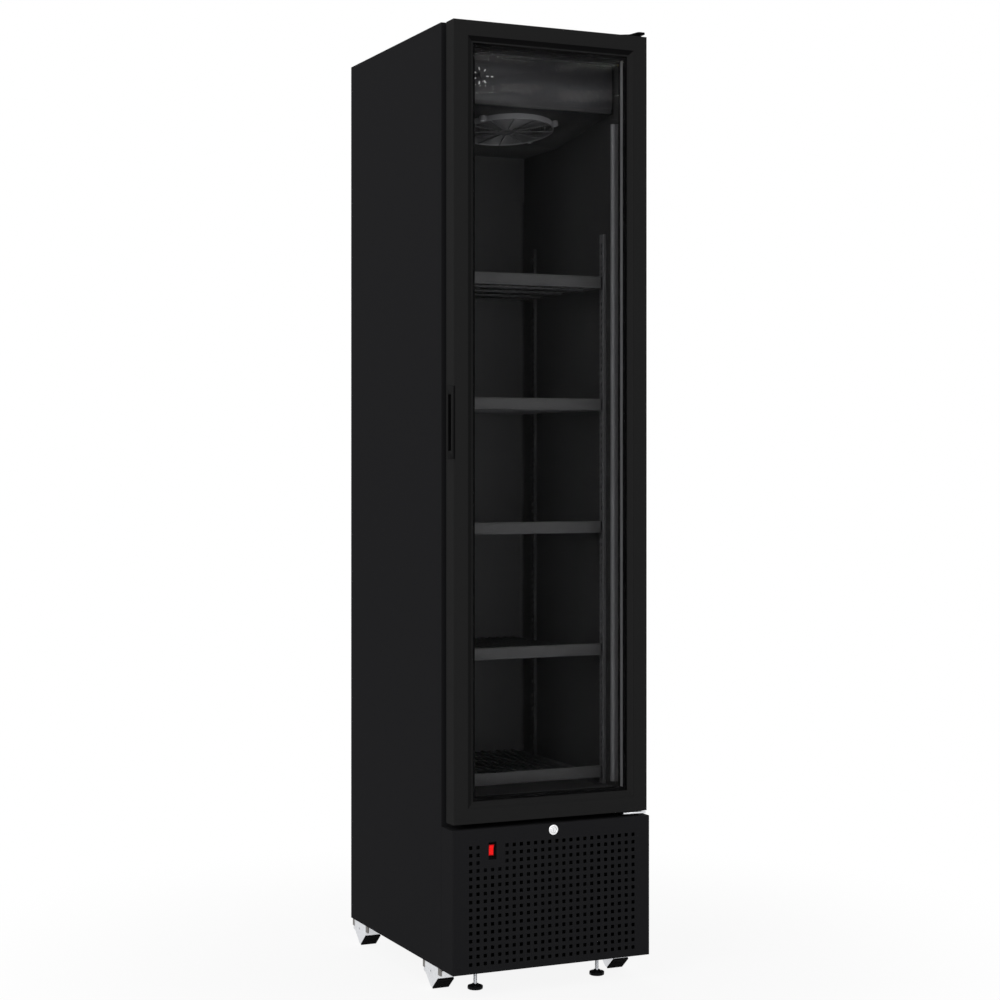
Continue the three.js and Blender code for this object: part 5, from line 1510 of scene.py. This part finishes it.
class MERCH_OT_shelves(bpy.types.Operator):
    """Builds the wire shelves, their label strips and the slotted uprights"""

    bl_idname = "merchandiser.shelves"
    bl_label = "Shelves"

    def execute(self, context):
        for number in range(1, SHELVES + 1):
            self.shelf(f"shelf_{number}", f"price_strip_{number}")
        for hand, sign in HANDS.items():
            for row in ROWS:
                self.upright(f"pilaster_{row}_{hand}", sign)
        return {"FINISHED"}

    def shelf(self, node, strip_node):
        """Round wires on cross bars, behind a grooved label strip with end caps."""
        sizes = setting("shelf")
        shelf, strip = Extent(node), Extent(strip_node)
        rail, wire_radius = sizes.rail / 2, sizes.wire / 2
        low = shelf.z0 + rail
        bm = bmesh.new()
        left, right = shelf.x0 + rail, shelf.x1 - rail
        front, back = shelf.y0 + rail, shelf.y1
        for x in (left, right):
            wire(bm, [(x, shelf.y0, low), (x, back, low)], rail, sides=14)
        wire(bm, [(left, front, low), (right, front, low)], rail, sides=14)
        last = back - strip.y0 - sizes.tail - sizes.rail
        for bar in range(sizes.bars):
            y = strip.y0 + sizes.first_bar + (last - sizes.first_bar) * bar / (sizes.bars - 1) + rail
            wire(bm, [(left, y, low), (right, y, low)], rail, sides=14)
        top = shelf.z1 - wire_radius
        pitch = (right - left) / (sizes.wires + 1)
        for number in range(1, sizes.wires + 1):
            x = left + number * pitch
            start = shelf.y0 + wire_radius
            wire(bm, [(x, start, low), (x, start, top - 1 * MM), (x, start + 1 * MM, top),
                      (x, back, top)], wire_radius, sides=10)
        piece(node + "_wires", bm, finish(wire_coat), "cabinet", "shelf_wire", node, crease=50)

        groove, lip, soft = 1.3 * MM, 2.6 * MM, 0.9 * MM
        corner, undercut, slant = 0.6 * MM, 0.4 * MM, 0.5 * MM
        y0, y1, z0, z1 = strip.y0, strip.y1, strip.z0, strip.z1
        face = y0 + groove
        height = z1 - z0 - 2 * lip
        bulge = [(face - 0.45 * MM * math.sin(math.pi * step / 8), z0 + lip + height * step / 8)
                 for step in range(9)]
        outline = [(y1, z0), (y1, z1 - corner), (y1 - corner, z1)]
        outline += arc((y0 + soft, z1 - soft), soft, 90, 180, 4)
        outline += [(y0, z1 - lip + slant), (y0 + undercut, z1 - lip)]
        outline += bulge[::-1]
        outline += [(y0 + undercut, z0 + lip), (y0, z0 + lip - slant)]
        outline += arc((y0 + soft, z0 + soft), soft, 180, 270, 4)
        bm = bmesh.new()
        cap = 1.6 * MM
        prism(bm, outline, "X", strip.x0 + cap, strip.x1 - cap)
        piece(strip_node + "_holder", bm, finish(strip_grey), "cabinet", "grey_strip", strip_node)
        bm = bmesh.new()
        for x in (strip.x0, strip.x1 - cap):
            soft_block(bm, x, x + cap, y0, y1, z0, z1, 0.5 * MM)
        piece(strip_node + "_caps", bm, finish(moulded_black), "cabinet", "black_plastic")

    def upright(self, node, sign):
        """Slotted channel against a side wall, with a clip under each shelf."""
        sizes = setting("shelf")
        extent = Extent(node)
        shelves = [Extent(f"shelf_{number}") for number in range(1, SHELVES + 1)]
        wall = extent.x1 if sign > 0 else extent.x0
        depth, bend, half = 7 * MM, 1.5 * MM, 9 * MM
        slot = sizes.slot_width / 2
        route = [(0, -half)] + arc((depth - bend, bend - half), bend, -90, 0, 3)
        route += [(depth, -slot), (depth, slot)] + arc((depth - bend, half - bend), bend, 0, 90, 3)
        route.append((0, half))
        middle = route.index((depth, -slot))
        levels = [extent.z0]
        rows = int((extent.z1 - extent.z0 - 12 * MM) / sizes.slot_pitch)
        for row in range(rows):
            start = extent.z0 + 8 * MM + row * sizes.slot_pitch
            levels += [start, start + sizes.slot_height]
        levels.append(extent.z1)
        bm = bmesh.new()
        punched(bm, route, levels, lambda p, z: (wall - sign * p[0], extent.y + p[1], z),
                lambda i, j: i == middle and j % 2 == 1)
        # Painted light: the uprights next to the door take a lighter copy of the coat.
        coat = finish(upright_painted_light if extent.y < 0 else upright_coat)
        made = piece(node + "_channel", bm, coat, "cabinet", "pilaster_steel", node)
        thicken(made, 1.2 * MM, (-sign, 0, 0))
        smooth(made.data, 35)

        bm = bmesh.new()
        y0, y1 = extent.y - 4 * MM, extent.y + 4 * MM
        near, far = sorted((wall - sign * 6 * MM, wall - sign * 13.5 * MM))
        leg, half_leg = wall - sign * 7.6 * MM, 0.8 * MM
        for shelf in shelves:
            top = shelf.z0 - 0.3 * MM
            soft_block(bm, near, far, y0, y1, top - 2 * MM, top, 0.5 * MM)
            soft_block(bm, leg - half_leg, leg + half_leg, y0, y1, top - 9 * MM, top, 0.4 * MM)
        piece(node + "_clips", bm, finish(upright_coat), "cabinet", "pilaster_steel")


class MERCH_OT_lamp(bpy.types.Operator):
    """Builds the upright lamp: a frosted tube on a back channel, with end caps"""

    bl_idname = "merchandiser.lamp"
    bl_label = "Lamp"

    def execute(self, context):
        lamp = Extent("led_lamp")
        radius, cap, inset = 7 * MM, 22 * MM, 4 * MM
        x, y = lamp.x0 + radius, lamp.y
        cut_at = 3.2 * MM
        turn = math.degrees(math.acos(cut_at / radius))
        low, high = lamp.z0 + inset, lamp.z1 - inset
        bm = bmesh.new()
        prism(bm, arc((x, y), radius - 0.2 * MM, turn, 360 - turn, 28), "Z", low, high)
        piece("lamp_tube", bm, finish(lamp_frost), "cabinet", "lamp_cover", "led_lamp", crease=40)

        bm = bmesh.new()
        back = x + cut_at
        half, flange = 5.4 * MM, 6.3 * MM
        soft_block(bm, back, lamp.x1 - 0.2 * MM, y - half, y + half, low, high, 0.4 * MM)
        for side in (-1, 1):
            near, far = sorted((y + side * half, y + side * flange))
            soft_block(bm, back - 1.2 * MM, back + 2 * MM, near, far, low, high, 0.3 * MM)
        piece("lamp_channel", bm, finish(lamp_frost), "cabinet", "lamp_cover")

        bm = bmesh.new()
        for start, stop in ((lamp.z0, low + cap), (high - cap, lamp.z1)):
            outline = arc((x, y), radius, 60, 300, 24)
            outline += [(lamp.x1, y - radius + 0.6 * MM), (lamp.x1, y + radius - 0.6 * MM)]
            prism(bm, outline, "Z", start, stop)
        piece("lamp_caps", bm, finish(lamp_frost), "cabinet", "lamp_cover", bevel=0.6 * MM)
        return {"FINISHED"}


# ---------------------------------------------------------------- cooling unit


class MERCH_OT_cooling(bpy.types.Operator):
    """Finishes the cover, deck and coil of the cooling unit and builds its fan and guard"""

    bl_idname = "merchandiser.cooling"
    bl_label = "Cooling unit"

    def execute(self, context):
        keep("evaporator_cover", finish(cover_black), 0.4 * MM)
        keep("drip_tray", finish(liner_black), 0.4 * MM)
        keep("evaporator_coil", finish(fin_metal))
        keep("thermostat_body", finish(moulded_black), 0.6 * MM)
        keep("evaporator_fan_motor", finish(enamel_black), 0.8 * MM)
        axis = joint_frame("evaporator_fan_spin")
        self.guard(axis)
        bm = bmesh.new()
        fan_wheel(bm, setting("fan").evaporator, -7 * MM, 11 * MM, 26 * MM)
        bm.transform(axis)
        piece("evaporator_fan_wheel", bm, finish(liner_black), "evaporator_fan", "black_plastic",
              "evaporator_fan", crease=40)
        return {"FINISHED"}

    def guard(self, axis):
        """Rings and spokes of round wire in a rolled rim with screwed lugs."""
        sizes = setting("fan")
        rim, band, reach = sizes.guard, 3 * MM, 12 * MM
        high = -1.8 * MM
        low = high - reach
        hub = 21 * MM
        wire_radius = sizes.wire / 2
        level = low + wire_radius
        bm = bmesh.new()
        soft = 1.2 * MM
        profile = [(rim - soft, low), (rim - 0.3 * soft, low + 0.3 * soft), (rim, low + soft),
                   (rim, high), (rim - band, high), (rim - band, low + soft),
                   (rim - band + 0.3 * soft, low + 0.3 * soft), (rim - band + soft, low)]
        rim_mesh = bmesh.new()
        ring_of(rim_mesh, profile, (0, 0, 0), steps=96)
        finer = 0.85
        for number in range(sizes.rings):
            radius = hub + (rim - band / 2 - hub) * (number + 0.5) / sizes.rings
            ring = [(radius * math.cos(turn), radius * math.sin(turn), level + sizes.wire * finer)
                    for turn in full_turn(72)]
            wire(bm, ring, wire_radius * finer, closed=True, sides=8)
        for number in range(sizes.spokes):
            turn = 2 * math.pi * (number + 0.5) / sizes.spokes
            along = Vector((math.cos(turn), math.sin(turn), 0))
            rise = Vector((0, 0, level))
            ends = [along * (hub - 3 * MM) + rise, along * (rim - 1 * MM) + rise]
            wire(bm, ends, wire_radius, sides=10)
        boss, raised = low + 3 * MM, low + 0.7 * MM
        turned(bm, [(0, low), (hub * 0.35, low), (hub * 0.4, raised), (hub * 0.7, raised),
                    (hub * 0.75, low), (hub - 0.6 * MM, low), (hub, low + 0.8 * MM), (hub, boss),
                    (0, boss)], (0, 0, 0), steps=56)
        turns = [math.radians(angle) for angle in (37, 143, -37, -143)]
        outward = [(rim + 4.5 * MM) * Vector((math.cos(turn), math.sin(turn), 0)) for turn in turns]
        lug = bmesh.new()
        turned(lug, round_profile(7.5 * MM, low + 1 * MM, high, 1.2 * MM), (0, 0, 0), steps=32)
        copies(rim_mesh, lug, [Matrix.Translation(place) for place in outward])
        rim_mesh.transform(axis)
        # Painted highlight on the rim and lugs.
        piece("guard_rim", rim_mesh, finish(rim_highlight_coat), "cabinet", "guard_wire", crease=45)
        bm.transform(axis)
        piece("guard_wires", bm, finish(guard_coat), "cabinet", "guard_wire", "fan_guard", crease=45)

        places = [axis @ (place + Vector((0, 0, low + 1.6 * MM))) for place in outward]
        down = axis.to_3x3() @ Vector((0, 0, -1))
        screws("guard_screws", places, down, 3.4 * MM, 1.5 * MM)


class MERCH_OT_thermostat(bpy.types.Operator):
    """Builds the thermostat knob, its pointer and the marks printed round it"""

    bl_idname = "merchandiser.thermostat"
    bl_label = "Thermostat"

    def execute(self, context):
        knob = Extent("thermostat_knob")
        x, z = knob.x, knob.z
        radius = (knob.x1 - knob.x0) / 2
        front = knob.y0
        foot = front + 13 * MM
        waist = radius - 3 * MM

        def knurled(turn, reach):
            share = 1.0 if reach > radius - 1.2 * MM else 0.0
            return reach - 0.35 * MM * share * (0.5 + 0.5 * math.cos(36 * turn))

        bm = bmesh.new()
        turned(bm, [(0, front + 1.2 * MM), (waist - 1.6 * MM, front + 1.2 * MM),
                    (waist - 0.5 * MM, front + 1.8 * MM), (waist, front + 3 * MM),
                    (waist, foot - 6 * MM), (waist + 0.8 * MM, foot - 5.2 * MM),
                    (radius - 0.9 * MM, foot - 5 * MM), (radius - 0.2 * MM, foot - 4.3 * MM),
                    (radius, foot - 3.6 * MM), (radius, foot - 0.4 * MM),
                    (radius - 0.5 * MM, foot), (0, foot)],
               (x, 0, z), "Y", 144, knurled)
        soft_block(bm, x - 2.2 * MM, x + 2.2 * MM, front, foot - 5.5 * MM, z - radius + 2 * MM,
                   z + radius - 2 * MM, 0.9 * MM)
        turned(bm, round_profile(3 * MM, foot - 1 * MM, knob.y1, 0.4 * MM), (x, 0, z), "Y", 24)
        piece("thermostat_knob_moulding", bm, finish(cover_black), "thermostat_knob", "black_plastic",
              "thermostat_knob", crease=40)
        bm = bmesh.new()
        soft_block(bm, x - 0.5 * MM, x + 0.5 * MM, front, front + 0.3 * MM, z + 1.5 * MM,
                   z + radius - 2.8 * MM, 0.1 * MM)
        piece("thermostat_pointer", bm, finish(printed_white), "thermostat_knob", "lamp_cover")

        bm = bmesh.new()
        face = Extent("evaporator_cover").y0
        turns = full_turn(7)
        ticks = [(number, radius + 1 * MM, radius + 7.4 * MM) for number in range(len(turns))]
        ticks.append((0, radius + 13 * MM, radius + 18 * MM))
        for number, near, far in ticks:
            turn = turns[number]
            ahead = Vector((math.cos(turn), math.sin(turn)))
            across = Vector((-math.sin(turn), math.cos(turn)))
            half = (0.8 + 0.07 * number) * MM
            corners = ((near, -half), (far, -half), (far, half), (near, half))
            outline = [Vector((x, z)) + ahead * out + across * aside for out, aside in corners]
            prism(bm, outline, "Y", face - 0.12 * MM, face + 0.02 * MM)
        piece("thermostat_marks", bm, finish(printed_white), "cabinet", "lamp_cover")
        return {"FINISHED"}


class MERCH_OT_condensing(bpy.types.Operator):
    """Finishes the condensing unit and builds its fan wheel"""

    bl_idname = "merchandiser.condensing"
    bl_label = "Condensing unit"

    def execute(self, context):
        keep("compressor", finish(enamel_black), 0.6 * MM)
        keep("condenser_coil", finish(dark_fins))
        keep("condenser_fan_motor", finish(enamel_black), 0.6 * MM)
        keep("condensate_pan", finish(moulded_black), 0.5 * MM)
        wheel = Extent("condenser_fan")
        bm = bmesh.new()
        low, high = -9 * MM, 9 * MM
        fan_wheel(bm, setting("fan").condenser, low, high, wheel.y1 - wheel.y0 + low)
        bm.transform(joint_frame("condenser_fan_spin"))
        piece("condenser_fan_wheel", bm, finish(deep_black), "condenser_fan", "black_plastic",
              "condenser_fan", crease=40)
        return {"FINISHED"}


# ---------------------------------------------------------------- door


class MERCH_OT_hinges(bpy.types.Operator):
    """Finishes the hinge brackets and adds their screws"""

    bl_idname = "merchandiser.hinges"
    bl_label = "Hinge brackets"

    def execute(self, context):
        keep("top_hinge_bracket", finish(deep_black), 0.5 * MM)
        keep("bottom_hinge_bracket", finish(bright_zinc), 0.5 * MM)
        top = Extent("top_hinge_bracket")
        places = [(top.x0 + across * MM, top.y1 - back * MM, top.z1 - 4 * MM)
                  for across, back in ((13, 14), (41, 14), (27, 38))]
        screws("top_hinge_screws", places, (0, 0, 1), 4.6 * MM, 2.2 * MM)
        low = Extent("bottom_hinge_bracket")
        places = [(low.x0 + across * MM, low.y1 - 4 * MM, low.z0 + 12 * MM) for across in (12, 42)]
        screws("bottom_hinge_screws", places, (0, -1, 0), 4.2 * MM, 2 * MM)
        return {"FINISHED"}


class MERCH_OT_door(bpy.types.Operator):
    """Builds the door frame with its bead, its cut-outs and the plugs in its edge"""

    bl_idname = "merchandiser.door"
    bl_label = "Door frame"

    def execute(self, context):
        sizes = setting("door")
        door = Extent("door_frame")
        unit = Extent("glass_unit")
        thick = door.y1 - door.y0
        flat, edge = sizes.flat, sizes.edge
        opening = flat + sizes.bevel + sizes.ledge
        gap = sizes.clearance
        held = unit.x0 - door.x0 - gap
        near = unit.y0 - door.y0 - gap
        far = unit.y1 - door.y0 + gap
        box = (door.x0, door.x1, door.y0, door.z0, door.z1)
        bm = bmesh.new()
        profile = [(0, thick - 0.6 * MM)] + arc((edge, edge), edge, 180, 270, 5)
        profile += [(flat - 0.3 * MM, 0), (flat, 0.3 * MM), (flat, near), (held, near), (held, far),
                    (opening, far), (opening, thick - 4 * MM), (opening - 4 * MM, thick),
                    (0.6 * MM, thick)]
        mitred(bm, profile, box)
        frame_piece = piece("door_frame_extrusion", bm, finish(frame_black), "door", "black_frame",
                            "door_frame", crease=30)
        handle = Extent("door_handle")
        cap, past, bore_deep = 3 * MM, 5 * MM, 16 * MM
        room = (handle.z0 - gap, handle.z1 + gap)
        tools = [block_tool(door.x0 - past, handle.x1 + gap, door.y0 + 8 * MM - gap, handle.y1 + gap,
                            *room),
                 block_tool(door.x0 - past, door.x0 + cap + gap, door.y0 - past, door.y0 + 9 * MM,
                            *room)]
        hinge = joint_frame("door_hinge").translation
        for z0, z1 in ((door.z0 - past, door.z0 + bore_deep), (door.z1 - bore_deep, door.z1 + past)):
            tools.append(bore_tool((hinge.x, hinge.y, 0), "Z", 4.5 * MM, z0, z1, 32))
        cam = Extent("lock_cylinder")
        tools.append(block_tool(-27 * MM, 6.5 * MM, cam.y1 - 4 * MM, cam.y1 + 1.5 * MM,
                                door.z0 - past, door.z0 + 11.9 * MM))
        carve(frame_piece, *tools, crease=30)
        round_edges(frame_piece, 0.35 * MM, 2, 50)

        bm = bmesh.new()
        start, inner = flat + 0.15 * MM, flat + sizes.bevel
        fall = sizes.bevel_depth
        profile = [(start, 0.5 * MM), (start + 0.5 * MM, 0.25 * MM), (start + 1.2 * MM, 0.6 * MM),
                   (inner - 0.8 * MM, fall - 0.3 * MM), (inner, fall), (opening - 0.4 * MM, fall),
                   (opening, fall + 0.4 * MM), (opening, near), (start, near)]
        mitred(bm, profile, box)
        bead = piece("glazing_bead", bm, finish(frame_black), "door", "black_frame", crease=25)
        bead.data.materials.append(finish(shaded_bead_black))
        bead.data.materials.append(finish(deep_black))
        # Painted shade: the slopes at the head are deep black, and those beside the handle a softer,
        # darker black; the other slopes keep the frame's black.
        for face in bead.data.polygons:
            if face.normal.y <= -0.98:
                continue
            if face.center.z > door.z1 - opening:
                face.material_index = 2
            elif face.center.x < door.x0 + opening:
                face.material_index = 1

        keep("door_handle", finish(deep_black), 0.7 * MM, 3)
        places = [(door.x0 + 0.45 * MM, door.y + 1 * MM, door.z1 - drop * MM) for drop in (285, 296)]
        screws("door_edge_plugs", places, (-1, 0, 0), 2.2 * MM, 0.5 * MM, "door", deep_black,
               "black_frame")
        return {"FINISHED"}


class MERCH_OT_glass(bpy.types.Operator):
    """Builds the double glazed unit: two panes, a black border with its seal, and a spacer"""

    bl_idname = "merchandiser.glass"
    bl_label = "Glass unit"

    def execute(self, context):
        sizes = setting("door")
        unit = Extent("glass_unit")
        pane = sizes.pane
        bm = bmesh.new()
        for y0, y1 in ((unit.y0, unit.y0 + pane), (unit.y1 - pane, unit.y1)):
            soft_block(bm, unit.x0, unit.x1, y0, y1, unit.z0, unit.z1, 0.4 * MM, 2)
        piece("glass_panes", bm, finish(clear_glass), "door", "door_glass", "glass_unit", crease=5)

        seen = sizes.flat + sizes.bevel + sizes.ledge + sizes.border
        shown = unit.x1 - Extent("door_frame").x1 + seen
        box = (unit.x0, unit.x1, unit.y0 + pane, unit.z0, unit.z1)
        room = unit.y1 - unit.y0 - 2 * pane
        outer, film, thin = 0.3 * MM, 0.02 * MM, 0.25 * MM
        bm = bmesh.new()
        for near, far in ((film, thin), (room - thin, room - film)):
            mitred(bm, [(outer, near), (shown - 0.4 * MM, near), (shown - 0.4 * MM, far),
                        (outer, far)], box)
        rim, edge, back = 2.3 * MM, shown - 0.3 * MM, shown - 6.6 * MM
        mitred(bm, [(outer, thin), (edge, thin), (edge, rim), (back, rim), (back, room - rim),
                    (edge, room - rim), (edge, room - thin), (outer, room - thin)], box)
        piece("glass_border", bm, finish(deep_black), "door", "black_frame")

        bm = bmesh.new()
        near, far = 2.4 * MM, room - 2.4 * MM
        back = shown - 6.5 * MM
        soft, sunk = 0.8 * MM, shown - 0.25 * MM
        profile = [(back, near), (shown - soft, near), (shown, near + soft)]
        grooves = 3
        run = (far - near - 2 * soft) / grooves
        for groove in range(grooves):
            start = near + soft + groove * run
            profile += [(shown, start + 0.38 * run), (sunk, start + 0.46 * run),
                        (sunk, start + 0.54 * run), (shown, start + 0.62 * run)]
        profile += [(shown, far - soft), (shown - soft, far), (back, far)]
        mitred(bm, profile, box)
        spacer = piece("glass_spacer", bm, finish(spacer_metal), "door", "zinc_plate", crease=30)
        spacer.data.materials.append(finish(deep_black))
        # Painted shade: the spacer's head and foot are deep black instead of the spacer's grey.
        low, high = unit.z0 + shown + 1 * MM, unit.z1 - shown - 1 * MM
        for face in spacer.data.polygons:
            if not low <= face.center.z <= high:
                face.material_index = 1
        return {"FINISHED"}


class MERCH_OT_gasket(bpy.types.Operator):
    """Builds the door's bellows gasket"""

    bl_idname = "merchandiser.gasket"
    bl_label = "Door gasket"

    def execute(self, context):
        gasket = Extent("door_gasket")
        deep = gasket.y1 - gasket.y0
        # Each point is its inset in millimetres and its share of the gasket's depth.
        profile = [(1, 0), (23, 0), (24, 0.06), (24, 0.17), (21.6, 0.28), (21.2, 0.36), (23.2, 0.5),
                   (23.4, 0.6), (21.6, 0.74), (22.8, 0.86), (22, 0.97), (20, 1), (4, 1), (2, 0.97),
                   (1.2, 0.86), (2.4, 0.74), (0.6, 0.6), (0.8, 0.5), (2.8, 0.36), (2.4, 0.28),
                   (0, 0.17), (0, 0.06)]
        bm = bmesh.new()
        mitred(bm, [(inset * MM, share * deep) for inset, share in profile],
               (gasket.x0, gasket.x1, gasket.y0, gasket.z0, gasket.z1))
        piece("gasket_bellows", bm, finish(seal_rubber), "door", "soft_seal", "door_gasket",
              crease=50)
        return {"FINISHED"}


# ---------------------------------------------------------------- stage


WORLD_LIGHT = 0.45
# Each soft light's place, the height it is aimed at, its width, its height and its power.
LIGHTS = {
    "key light": ((-3.6, -2.2, 2.6), 1.05, 2.4, 2.4, 53),
    "fill light": ((0.2, -4.5, 0.9), 0.9, 2.4, 1.8, 22),
    "rear light": ((0.8, 3.8, 2.6), 1.05, 3.0, 2.0, 30),
}
# How far across, how high and how wide each strip light is; the power is for a metre of width.
STRIPS = ((0.965, 2.360, 0.22), (1.300, 2.360, 0.26), (0.965, 2.462, 0.22), (1.300, 2.462, 0.26))
STRIP_POWER = 1.3
STRIP_TALL = 0.03
STRIP_PLANE = -2.6
STRIP_AIM = Vector((0, -0.22, 1.92))


class MERCH_OT_stage(bpy.types.Operator):
    """Lays the studio floor, sets the soft lights and the world, and places the camera"""

    bl_idname = "merchandiser.stage"
    bl_label = "Stage"

    def execute(self, context):
        self.floor()
        self.world(context)
        for name, (place, aim, width, height, power) in LIGHTS.items():
            self.lamp(name, place, Vector((0, 0, aim)), width, height, power)
        for number, (across, height, width) in enumerate(STRIPS):
            self.lamp(f"strip light {number + 1}", (across, STRIP_PLANE, height), STRIP_AIM,
                      width, STRIP_TALL, STRIP_POWER * width)
        self.camera(context)
        return {"FINISHED"}

    def floor(self):
        """A wide square floor with its edges far away."""
        bm = bmesh.new()
        bmesh.ops.create_grid(bm, x_segments=24, y_segments=24, size=14)
        floor = placed("studio_floor", bm)
        floor.data.materials.append(finish(pale_floor))
        floor.location.z = -0.2 * MM

    def world(self, context):
        """White where it is seen or reflected, and a softer grey as light."""
        world = bpy.data.worlds.new("studio")
        world.use_nodes = True
        context.scene.world = world
        graph = Graph(world.node_tree)
        world.node_tree.nodes.clear()
        strength = graph.math("MULTIPLY_ADD", graph.seen(), 1 - WORLD_LIGHT, WORLD_LIGHT)
        light = graph.node("ShaderNodeBackground")
        light.inputs[0].default_value = WHITE
        graph.feed(light.inputs[1], strength)
        graph.feed(graph.node("ShaderNodeOutputWorld").inputs[0], light.outputs[0])

    def lamp(self, name, place, aim, width, height, power):
        """A rectangular light aimed at a point of the cabinet."""
        data = bpy.data.lights.new(name, "AREA")
        data.shape = "RECTANGLE"
        data.size = width
        data.size_y = height
        data.energy = power
        light = bpy.data.objects.new(name, data)
        light.location = place
        light.rotation_euler = (aim - Vector(place)).to_track_quat("-Z", "Y").to_euler()
        bpy.context.scene.collection.objects.link(light)

    def camera(self, context):
        """A level camera to the left of the door's front."""
        sizes = setting("camera")
        data = bpy.data.cameras.new("camera")
        data.lens = sizes.lens
        data.sensor_width = 36
        data.shift_y = sizes.rise
        data.clip_end = 100
        camera = bpy.data.objects.new("camera", data)
        camera.location = sizes.place
        camera.rotation_euler = (math.radians(90), 0, sizes.azimuth)
        context.scene.collection.objects.link(camera)
        context.scene.camera = camera
        context.scene.view_settings.view_transform = "Standard"


# ---------------------------------------------------------------- panel and registration


OPERATORS = (
    MERCH_OT_stage,
    MERCH_OT_skin,
    MERCH_OT_rear,
    MERCH_OT_liner,
    MERCH_OT_base_panel,
    MERCH_OT_switch,
    MERCH_OT_lock,
    MERCH_OT_feet,
    MERCH_OT_shelves,
    MERCH_OT_lamp,
    MERCH_OT_cooling,
    MERCH_OT_thermostat,
    MERCH_OT_condensing,
    MERCH_OT_hinges,
    MERCH_OT_door,
    MERCH_OT_glass,
    MERCH_OT_gasket,
)


class MERCH_PT_pieces(bpy.types.Panel):
    """Lists the merchandiser's pieces in the sidebar"""

    bl_idname = "MERCH_PT_pieces"
    bl_label = "Glass Door Merchandiser"
    bl_space_type = "VIEW_3D"
    bl_region_type = "UI"
    bl_category = "Merchandiser"

    def draw(self, context):
        """Shows a button for each operator."""
        column = self.layout.column(align=True)
        for operator in OPERATORS:
            column.operator(operator.bl_idname)


CLASSES = (*SETTINGS.values(), *OPERATORS, MERCH_PT_pieces)


def register():
    """Registers the classes and gives the scene its settings."""
    for kind in CLASSES:
        bpy.utils.register_class(kind)
    for name, kind in SETTINGS.items():
        setattr(bpy.types.Scene, "merchandiser_" + name, PointerProperty(type=kind))


def unregister():
    """Takes the settings and the classes away."""
    for name in SETTINGS:
        delattr(bpy.types.Scene, "merchandiser_" + name)
    for kind in reversed(CLASSES):
        bpy.utils.unregister_class(kind)


def main():
    """Builds the stage and every piece."""
    register()
    for operator in OPERATORS:
        family, name = operator.bl_idname.split(".")
        getattr(getattr(bpy.ops, family), name)()


if __name__ == "__main__":
    main()
